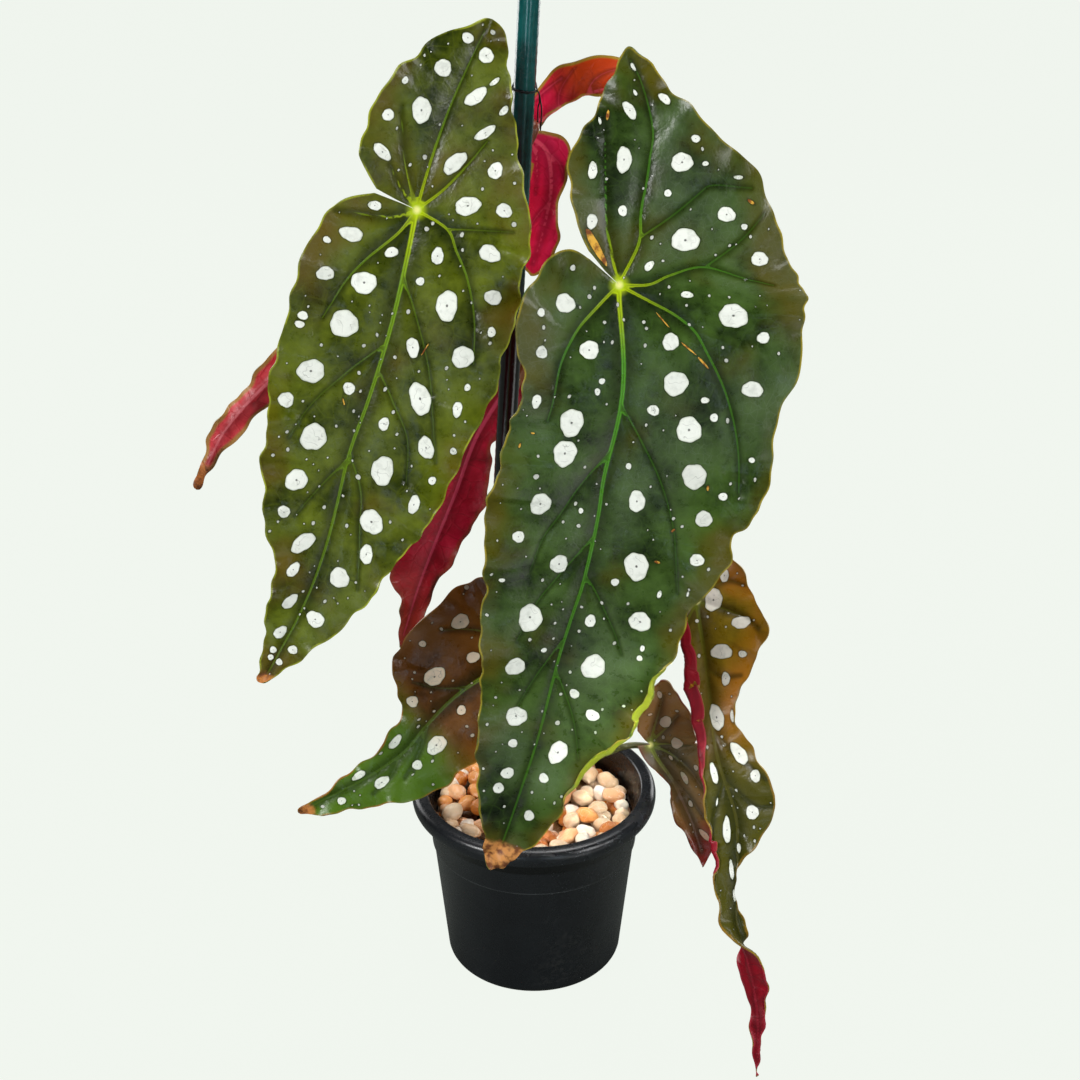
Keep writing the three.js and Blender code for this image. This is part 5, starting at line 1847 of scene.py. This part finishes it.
@dataclass
class Pot:
    """The moulded nursery pot, in millimetres."""

    height: float = 96.0
    rim_radius: float = 60.0
    rim_depth: float = 8.0
    mouth_radius: float = 52.5
    mouth_rounding: float = 1.3
    band_top_radius: float = 52.3
    step_height: float = 66.0
    step_radius: float = 49.7
    foot_radius: float = 43.6
    foot_rounding: float = 5.0
    inner_bevel: float = 0.5
    wall: float = 1.8
    floor: float = 2.4
    faces_round: int = 144
    holes: int = 6
    hole_radius: float = 4.0
    hole_circle: float = 27.0
    # The inside wall gets a painted shade, near black, within the first of these radii, and down to this
    # height
    painted_shade_reach: Span = (51.2, 52.8)
    painted_shade_height: float = 78.6
    # Each section's points, as steps out and up from where it starts
    foot_section: tuple[Span, ...] = ((-4.6, 0.8), (-3.6, 0.1), (-3.0, 0.0))
    step_section: tuple[Span, ...] = ((-0.05, -0.9), (0.1, -0.4), (0.65, 0.2), (0.83, 0.7))
    band_section: tuple[Span, ...] = ((-0.05, -0.5), (0.3, 0.0))
    rim_section: tuple[Span, ...] = (
        (-1.8, 0), (-0.7, 0.5), (-0.25, 1.6), (0, 3.2), (0, 4.4), (-0.25, 5.7), (-0.8, 6.8), (-1.6, 7.6),
        (-2.8, 8),
    )

    def inner_radius(self, height: float) -> float:
        """Gives the radius of the inside wall at a height.

        Args:
            height: The height in millimetres.

        Returns:
            The radius in millimetres.
        """
        foot = self.foot_radius - self.wall
        share = (height - self.foot_rounding) / (self.height - self.rim_depth - self.foot_rounding)
        return foot + (self.band_top_radius - self.wall - foot) * share

    def build(self, groups: Groups) -> None:
        """Turns the pot, drills its drain holes and dresses it.

        Args:
            groups: The shared node groups.
        """
        flat, low = self.foot_radius - self.foot_rounding, self.height - self.rim_depth
        profile = [(0.0, self.foot_section[0][1])]
        profile += [(flat + out, up) for out, up in self.foot_section]
        profile += [(flat + self.foot_rounding * s, self.foot_rounding * (1 - c)) for s, c in quarter(8)]
        profile += [(self.step_radius + out, self.step_height + up) for out, up in self.step_section]
        profile += [(self.band_top_radius + out, low + up) for out, up in self.band_section]
        profile += [(self.rim_radius + out, low + up) for out, up in self.rim_section]
        mouth, turn = self.mouth_radius, self.mouth_rounding
        profile += [(mouth + turn * (1 - s), self.height - turn * (1 - c)) for s, c in quarter(4)]
        profile += [
            (self.inner_radius(low) + self.inner_bevel, low + self.inner_bevel),
            (self.inner_radius(low - 1), low - 1),
            (self.inner_radius(self.foot_rounding + self.floor), self.foot_rounding + self.floor),
            (flat - self.inner_bevel, self.floor),
            (0.0, self.floor),
        ]
        piece = spun("pot_shell", profile, self.faces_round)
        for hole in range(self.holes):
            bpy.ops.object.select_all(action="DESELECT")
            bpy.ops.mesh.primitive_cylinder_add(
                vertices=32, radius=self.hole_radius * MM, depth=4 * self.floor * MM,
                location=around(self.hole_circle * MM, hole / self.holes * FULL_TURN, 0),
            )
            drill = bpy.context.object
            modify(piece, "BOOLEAN", operation="DIFFERENCE", object=drill, solver="EXACT")
            bpy.data.objects.remove(drill)
        seat(piece, "pot", "pot_plastic", 32, self._material(groups))

    def _material(self, groups: Groups) -> Material:
        """Makes satin black plastic with moulding grain, dust and fine scratches, with painted shade on the
        inside wall and a painted highlight along the step's edge.

        Args:
            groups: The shared node groups.

        Returns:
            The material.
        """
        desk = Surface("pot_plastic_black")
        vector = desk.here()
        wear = desk.pattern(groups.wear, vector, 14.0)
        patches = desk.pattern(groups.mottle, vector, 22.0)
        coat = Coat(desk, desk.blend(patches["Mask"], "15171a", "1c1f22"))
        coat.lay(desk.times(wear["Dust"], 0.12), "6f6c66")
        coat.lay(desk.times(wear["Scratch"], 0.04), "6a6b6c")
        # Painted shade makes the inside wall near black
        x, y, z = desk.axes(vector)
        reach = desk.length(desk.node("CombineXYZ", {0: x, 1: y}).outputs[0])
        within = desk.fade(reach, *(radius * MM for radius in self.painted_shade_reach))
        above = desk.maths("GREATER_THAN", z, self.painted_shade_height * MM)
        coat.lay(desk.times(within, above), "050607")
        # A painted highlight lightens the step's edge
        painted_edge_highlight = desk.fade(desk.apart(z, (self.step_height + 0.2) * MM), 0.0002, 0.0008, 0.55)
        coat.lay(desk.times(painted_edge_highlight, patches["Mask"]), "6c7072")
        flow = desk.noise(desk.stretched(vector, 0.06), 90.0, 2.0)
        height = desk.plus(desk.noise(vector, 1500.0, 2.0), flow, 2.0)
        rough = desk.plus(desk.grained(patches, 0.25, 0.29), wear["Dust"], 0.2)
        return desk.dress(coat.colour, rough, (0.05, 0.0003, height))


def dress_potting_mix(node: Piece) -> None:
    """Gives the frame's own potting mix a dark crumbly finish with bark and pale grit.

    Args:
        node: The frame's piece.
    """
    desk = Surface("potting_mix_crumb")
    vector = desk.here()
    crumb = desk.cells(vector, 420.0).outputs
    tone = desk.node("SeparateColor", {0: crumb["Color"]}).outputs
    coat = Coat(desk, desk.blend(tone[0], "1d140d", "4a3523"))
    coat.lay(desk.ease(tone[1], 0.93, 0.97, 0.0, 0.8), "b9b2a2")
    coat.lay(desk.ease(desk.noise(vector, 60.0), 0.35, 0.7, 0.0, 0.5), "120c08")
    height = desk.plus(crumb["Distance"], desk.noise(vector, 260.0, 4.0))
    node.data.materials.clear()
    rough = desk.ease(tone[2], 0.0, 1.0, 0.82, 0.96)
    node.data.materials.append(desk.dress(coat.colour, rough, (0.9, 0.0015, height)))
    LOG.info("potting_mix: frame solid with its own finish")


@dataclass
class Pebbles:
    """The stone dressing: the frame's stones made fine, and smaller ones under and between them."""

    count: int = 66
    bed_radius: float = 48.4
    bed_bottom: float = 71.4
    bed_top: float = 75.0
    spread: float = 43.5
    # Half the length, width and height of a stone on top, and of one under them
    half_sizes: tuple[Span, ...] = ((4.8, 6.6), (3.8, 4.9), (3.2, 4.2))
    under_half_sizes: tuple[Span, ...] = ((3.6, 4.8), (3.1, 3.9), (2.6, 3.4))
    sunk: float = 0.4
    rise: float = 3.5
    lift: float = 4.5
    heap: float = 4.5
    heap_bearing: float = 140.0
    tilt: float = 0.25
    under_tilt: float = 0.5
    stray: float = 0.15
    golden_angle: float = 2.39996
    under_count: int = 170
    under_spread: float = 42.0
    under_height: float = 78.0
    # Two rings of stones stand along the wall, at these heights
    wall_count: int = 44
    wall_heights: Span = (77.5, 81.2)
    roughness: float = 0.15
    palette: tuple[tuple[float, str], ...] = (
        (0.24, "ecd4b2"), (0.42, "e6b688"), (0.58, "d89a58"), (0.7, "cc8236"), (0.77, "b9702c"),
        (0.89, "f6efe2"), (1.0, "dcc8aa"),
    )

    def build(self, groups: Groups) -> None:
        """Lays the stones and dresses them.

        Args:
            groups: The shared node groups.
        """
        stones = [self._top(i) for i in range(self.count)]
        stones += [self._under(i) for i in range(self.under_count)]
        stones.append(self._bed())
        seat(joined("pebble_dressing", stones), "pebbles", "pebble_stone", 75, self._material(groups))

    def _top(self, i: int) -> Piece:
        """Makes one of the frame's stones at its own place.

        Args:
            i: The stone's number.

        Returns:
            The stone.
        """
        reach = self.spread * math.sqrt((i + 0.5) / self.count)
        angle = i * self.golden_angle + drawn((-self.stray, self.stray), i, 1)
        half = tuple(drawn(span, i, purpose) for span, purpose in zip(self.half_sizes, (3, 4, 2)))
        height = self.bed_top + self.lift + self.sunk * half[2] + self.rise * chance(i, 7)
        turn = (drawn((-self.tilt, self.tilt), i, 5), FULL_TURN * chance(i, 6))
        return self._stone(i, around(reach, angle, height + self._heaped(angle, reach)), half, turn, 4)

    def _heaped(self, angle: float, reach: float) -> float:
        """Gives how much higher the stones lie towards the back left."""
        return self.heap * max(0.0, math.cos(angle - math.radians(self.heap_bearing))) * min(1.0, reach / 30)

    def _under(self, i: int) -> Piece:
        """Makes a lower stone, seen in the gaps and along the wall.

        Args:
            i: The stone's number.

        Returns:
            The stone.
        """
        share = chance(i, 21)
        row = i // self.wall_count
        if row < len(self.wall_heights):
            angle = FULL_TURN * (i % self.wall_count + 0.4 * share) / self.wall_count
            reach, height = self.bed_radius - 4.2 - share, self.wall_heights[row]
        else:
            angle = i * self.golden_angle + 0.3 * share
            reach, height = self.under_spread * math.sqrt(chance(i, 22)), self.under_height
        half = tuple(drawn(span, i, purpose) for span, purpose in zip(self.under_half_sizes, (23, 24, 25)))
        place = around(reach, angle, height + 1.6 * chance(i, 26) + self._heaped(angle, reach))
        turn = (drawn((-self.under_tilt, self.under_tilt), i, 27), FULL_TURN * chance(i, 28))
        return self._stone(i + 200, place, half, turn, 3)

    def _stone(self, number: int, place: Place, half: Place, turn: Span, level: int) -> Piece:
        """Makes a water-worn stone: an icosphere pulled about by broad noise, with worn flats.

        Args:
            number: The stone's number, for its draws.
            place: Its centre in millimetres.
            half: Its half sizes in millimetres.
            turn: Its tilt and its heading, in radians.
            level: The icosphere's subdivisions.

        Returns:
            The stone.
        """
        bpy.ops.object.select_all(action="DESELECT")
        bpy.ops.mesh.primitive_ico_sphere_add(subdivisions=level, radius=1.0)
        stone = bpy.context.object
        points = read_places(stone)
        seed = Vector((3.1 * number, 1.7 * number, 0.9 * number))
        places = [Vector(p) for p in points]
        bulge = [noise.noise(p * 1.1 + seed) + 0.35 * noise.noise(p * 2.6 + seed) for p in places]
        points = points * (1 + self.roughness * np.array(bulge))[:, None]
        for flat in range(3):
            way = unit(np.array([[chance(number, 31 + 3 * flat + k) - 0.5 for k in range(3)]]))[0]
            beyond = points @ way - drawn((0.78, 0.9), number, 44 + flat)
            points -= np.clip(beyond, 0, None)[:, None] * way * 0.6
        points = points / np.abs(points).max(axis=0) * np.array(half)
        tip, head = np.eye(3), np.eye(3)
        tip[1:, 1:], head[:2, :2] = turning(turn[0]), turning(turn[1])
        points = (points @ tip.T @ head.T + np.array(place)) * MM
        stone.data.vertices.foreach_set("co", points.astype(np.float32).ravel())
        draw = chance(number, 9)
        self._paint(stone, next(code for limit, code in self.palette if draw <= limit), chance(number, 10))
        return stone

    @staticmethod
    def _paint(piece: Piece, code: str, draw: float) -> None:
        """Stores a stone's own colour, a little lighter or darker by its draw.

        Args:
            piece: The stone.
            code: Its colour as six hexadecimal digits.
            draw: Its draw, from 0 to 1.
        """
        layer = piece.data.attributes.new("stone_colour", "FLOAT_COLOR", "POINT")
        row = [min(1, part * (0.86 + 0.26 * draw)) for part in paint(code)[:3]] + [1.0]
        layer.data.foreach_set("color", np.tile(row, len(piece.data.vertices)).astype(np.float32))

    def _bed(self) -> Piece:
        """Makes the dark grit under the stones.

        Returns:
            The bed.
        """
        low, high, wide = self.bed_bottom, self.bed_top + 1, self.bed_radius
        piece = spun("pebble_bed", [(0.0, low), (wide, low), (wide, high), (30.0, high), (0.0, high)], 72)
        self._paint(piece, "7a5a38", 0.4)
        return piece

    @staticmethod
    def _material(groups: Groups) -> Material:
        """Makes river stone: each stone's own colour, clouded, speckled and veined.

        Args:
            groups: The shared node groups.

        Returns:
            The material.
        """
        desk = Surface("pebble_stone_worn")
        vector, own = desk.here(), desk.fetch("stone_colour", "Color")
        patches = desk.pattern(groups.mottle, vector, 130.0)
        coat = Coat(desk, own)
        coat.lay(desk.times(patches["Mask"], 0.6), desk.blend(1.0, own, "f2c898", "MULTIPLY"))
        coat.lay(desk.ease(desk.noise(vector, 2600.0, 2.0), 0.64, 0.74, 0.0, 0.3), "a06a38")
        coat.lay(desk.hairlines(desk.noise(vector, 150.0, 2.0), 0.012, 0.3), "f6ece0")
        height = desk.plus(desk.noise(vector, 320.0, 3.0), desk.noise(vector, 1400.0, 4.0, 0.6), 0.6)
        return desk.dress(coat.colour, desk.grained(patches, 0.26, 0.44), (0.22, 0.0005, height))


# Stake and tie


@dataclass
class Stake:
    """The coated plant stake, which leans a little, and the twisted tie round it and the cane."""

    radius: float = 4.6
    top: float = 505.0
    bottom: float = 18.0
    bottom_bevel: float = 1.4
    top_rounding: float = 3.4
    rings: int = 240
    ring_depth: float = 0.1
    top_x: float = 0.2
    slope: float = 0.056
    tie_height: float = 440.0
    cane_y: float = 9.0
    # The tie's radius round the stake and round the cane
    loop: Span = (5.15, 4.5)
    strand: float = 0.32
    twist_length: float = 4.2
    tail_length: float = 17.0

    def x_at(self, height: float) -> float:
        """Gives the stake's middle line at a height."""
        return self.top_x - (self.top - height) * self.slope

    def build(self, groups: Groups) -> None:
        """Makes the stake and dresses it.

        Args:
            groups: The shared node groups.
        """
        long, bevel, rounding = self.top - self.bottom, self.bottom_bevel, self.top_rounding
        profile = [(0.0, 0.0), (self.radius - bevel, 0.0), (self.radius - 0.4, 0.4), (self.radius, bevel)]
        for step in range(1, self.rings):
            height = bevel + (long - 5 - bevel) * step / self.rings
            profile.append((self.radius - self.ring_depth * (step % 2), height))
        profile += [(self.radius * c, long - rounding + rounding * s) for s, c in quarter(8)]
        profile[-1] = (0.0, long)
        piece = spun("stake_rod", profile, 40)
        lean = Matrix.Translation(Vector((self.x_at(self.bottom), 0, self.bottom)) * MM)
        piece.data.transform(lean @ Matrix.Rotation(math.atan(self.slope), 4, "Y"))
        seat(piece, "stake", "stake_coating", 50, self._material(groups))

    def build_tie(self) -> None:
        """Makes the two twisted strands of the tie and dresses them."""
        x, top = self.x_at(self.tie_height), self.tie_height
        turn = np.linspace(-0.3, FULL_TURN - 0.1, 150)
        round_stake = np.sin(turn) < 0
        reach = np.where(round_stake, *self.loop)
        ring = np.column_stack([
            x + reach * np.cos(turn), np.where(round_stake, 0, self.cane_y) + reach * np.sin(turn),
            top + 0.4 * np.sin(2 * turn),
        ])
        run = run_along(ring)
        out = unit(np.column_stack([np.cos(turn), np.sin(turn), 0 * turn]))
        parts = []
        for number, (side, low) in enumerate(((0.9, 0.0), (-0.5, 3.5))):
            angle = (run / self.twist_length * FULL_TURN + number * math.pi)[:, None]
            route = ring + self.strand * 0.9 * (out * np.cos(angle) + np.array([0, 0, 1]) * np.sin(angle))
            end = top - self.tail_length + low
            tail = SmoothLine(np.array([
                (x + 4.4, -2.2, top + 0.2), (x + 5.7, -2.4, top - 0.5), (x + 6.4 + 0.4 * side, -2.2, top - 5),
                (x + 6.2 + side, -1.8, (top + end) / 2), (x + 5.9 + 0.8 * side, -1.6, end),
            ]), by_distance=True).spaced(0.5)
            for name, line in (("loop", route), ("tail", tail)):
                parts.append(tube(f"tie_{name}_{number}", line, np.full(len(line), self.strand), 2))
        seat(joined("tie_twisted", parts), "tie", "tie_wire", 60, self._tie_material())

    @staticmethod
    def _material(groups: Groups) -> Material:
        """Makes dark teal gloss coating with small marks of wear, and painted shade that makes it nearly
        black below the leaves.

        Args:
            groups: The shared node groups.

        Returns:
            The material.
        """
        desk = Surface("stake_teal_coating")
        vector = desk.here()
        wear = desk.pattern(groups.wear, vector, 40.0)
        patches = desk.pattern(groups.mottle, vector, 60.0)
        teal = desk.blend(patches["Mask"], "0a403f", "17625f")
        # Painted shade: the coating goes nearly black below the leaves
        coat = Coat(desk, desk.blend(desk.ease(desk.axes(vector)["Z"], 0.34, 0.38), "060b0b", teal))
        coat.lay(desk.times(wear["Dust"], 0.25), "7b8a86")
        coat.lay(desk.times(wear["Scratch"], 0.3), "4f7472")
        relief = (0.2, 0.0005, desk.noise(vector, 420.0, 3.0))
        rough = desk.grained(patches, 0.16, 0.26)
        return desk.dress(coat.colour, rough, relief, Coat_Weight=0.4, Coat_Roughness=0.12)

    @staticmethod
    def _tie_material() -> Material:
        """Makes the tie's dark plastic coat, greyer where it was bent.

        Returns:
            The material.
        """
        desk = Surface("tie_wire_coat")
        bent = desk.ease(desk.noise(desk.here(), 700.0, 3.0), 0.45, 0.7, 0.0, 0.4)
        return desk.dress(desk.blend(bent, "10191a", "3b4544"), desk.ease(bent, 0.0, 0.4, 0.35, 0.55))


# The studio


@dataclass
class Studio:
    """The pale floor, the soft lights and the camera at the photograph's angle."""

    floor_reach: float = 9.0
    background: str = "f1f6ef"
    floor_glow: float = 1.06
    floor_glow_share: float = 0.93
    window: Place = (0.7, 0.86, 1.0)
    window_behind: float = -1.2
    dim: float = 0.04
    lens: float = 66.97
    camera_place: Place = (0.003, -0.829, 0.649)
    camera_tilt: float = 63.2
    # Each light's place, what it looks at, its size, its power and its spread in degrees
    lights: tuple = (
        ((-1.05, -0.9, 1.15), (0, -0.03, 0.28), 0.6, 23.0, 180),
        ((1.15, -0.75, 0.75), (0, -0.03, 0.28), 0.7, 11.0, 180),
        ((-0.5, -1.5, 0.2), (-0.05, -0.03, 0.2), 0.3, 1.2, 180),
        ((0.5, -1.5, 0.25), (0.03, -0.03, 0.2), 0.3, 1.2, 180),
        ((0.1, 0.6, 1.7), (0, -0.03, 0.28), 0.9, 18.0, 180),
        ((0.9, 1.0, 0.5), (0, -0.03, 0.28), 0.8, 7.0, 180),
        ((-0.9, 1.0, 0.5), (0, -0.03, 0.28), 0.8, 7.0, 180),
        ((0.13, -0.45, 0.55), (0.025, 0, 0.088), 0.04, 0.012, 8),
        # Two white cards on the floor, which the blades' gloss mirrors
        ((0.42, -0.46, 0.01), (0.42, -0.46, 1), 0.5, 1.4, 180),
        ((-0.32, -0.46, 0.01), (-0.32, -0.46, 1), 0.3, 0.4, 180),
    )

    def place_camera(self) -> None:
        """Stands the camera where the photograph was taken from."""
        data = bpy.data.cameras.new("photo_camera")
        data.lens, data.sensor_width, data.clip_start = self.lens, 36.0, 0.01
        camera = linked("photo_camera", data)
        camera.location = self.camera_place
        camera.rotation_euler = (math.radians(self.camera_tilt), 0.0, 0.0)
        bpy.context.scene.camera = camera

    def build(self) -> None:
        """Lays the floor and sets the lights."""
        bpy.ops.object.select_all(action="DESELECT")
        bpy.ops.mesh.primitive_plane_add(size=2 * self.floor_reach, location=(0, 0, 0))
        floor = bpy.context.object
        floor.name = "studio_floor"
        desk = Surface("studio_paper")
        fibre = desk.ease(desk.noise(desk.here(), 300.0), 0.3, 0.7)
        floor.data.materials.append(
            desk.dress(desk.blend(fibre, "5b5f5a", "5f635e"), 0.9, Specular_IOR_Level=0.0)
        )
        seen = desk.times(desk.node("LightPath").outputs["Is Camera Ray"], self.floor_glow_share)
        glow = desk.node("Emission", {"Color": self.background, "Strength": self.floor_glow})
        both = desk.node("MixShader", {0: seen, 1: desk.shader.outputs[0], 2: glow.outputs[0]})
        desk.put(desk.output.inputs[0], both.outputs[0])
        world = bpy.data.worlds.new("studio_world")
        world.use_nodes = True
        sky, back = Desk(world.node_tree), world.node_tree.nodes["Background"].inputs
        sky.put(back[0], self.background)
        sky.put(back[1], sky.ease(sky.node("LightPath").outputs["Is Camera Ray"], 0, 1, self.dim, 1.0))
        bpy.context.scene.world = world
        bpy.context.scene.view_settings.view_transform = "Standard"
        for number, (place, target, size, power, spread) in enumerate(self.lights):
            data = bpy.data.lights.new(f"softbox_{number}", "AREA")
            data.size, data.energy, data.spread = size, power, math.radians(spread)
            if place[1] < self.window_behind:
                data.color = self.window
            lamp = linked(data.name, data)
            lamp.location = place
            lamp.visible_camera = False
            lamp.rotation_euler = (Vector(target) - Vector(place)).to_track_quat("-Z", "Y").to_euler()


def main() -> None:
    """Loads the frame and makes every piece over it."""
    logging.basicConfig(level=logging.INFO, format="%(name)s: %(message)s")
    for old in list(bpy.data.objects):
        bpy.data.objects.remove(old)
    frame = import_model()
    studio = Studio()
    studio.place_camera()
    groups = Groups()
    stake = Stake()
    forms = {leaf.name: leaf.form for leaf in LEAVES}
    for leaf in LEAVES:
        leaf.build(groups)
    # The cane keeps close to the leaning stake
    beside = (
        (40, 0, 9.6), (120, 1.5, 10.5), (200, -1, 11), (290, 1, 10), (371, 0, 9), (440, 0, 9),
        (457, -0.5, 9.5),
    )
    Stems(
        "main_cane", np.array([(stake.x_at(height) + off, y, height) for height, off, y in beside]),
        {
            "leaf_a": ((-5, 10, 380), (-20, 6, 397), (-36, -12, 405)),
            "leaf_b": ((-8, 10, 338), (5, 8, 352), (21, -26, 371)),
            "leaf_f": ((-12, 10, 282), (-9, 13, 300)),
            "leaf_g": ((-8, 10, 320), (-24, 2, 342), (-46, -2, 354)),
            "leaf_h": ((-7, 11, 388), (-6, 12, 404)),
        },
        (92, 128, 162, 196, 226, 254, 281, 319, 337, 360, 379, 387, 408, 426, 445), bud=True,
    ).build(forms, groups)
    Stems(
        "lower_cane", np.array([(17, 18, 40), (16, 16, 95), (14, 14, 150)], float),
        {
            "leaf_c": ((15, 15, 135), (12, 5, 162), (4, -22, 180)),
            "leaf_d": ((14, 14, 140), (24, 14, 180), (50, 8, 206)),
        },
        (88, 112, 134, 140), near_blade="8a5a1c",
    ).build(forms, groups)
    Stems(
        "basal_shoot", np.zeros((0, 3)),
        {"leaf_e": ((13, 3, 50), (14, 4, 85), (21, 6, 102), (33, 6.5, 108), (46, 6, 114))},
        (), skin=("343c12", "545c22"), near_blade="4c5220", petiole_radius=1.7,
    ).build(forms, groups)
    Pot().build(groups)
    dress_potting_mix(bpy.data.objects["potting_mix"])
    Pebbles().build(groups)
    stake.build(groups)
    stake.build_tie()
    studio.build()
    LOG.info("dressed %d nodes", len(frame["nodes"]))


if __name__ == "__main__":
    main()
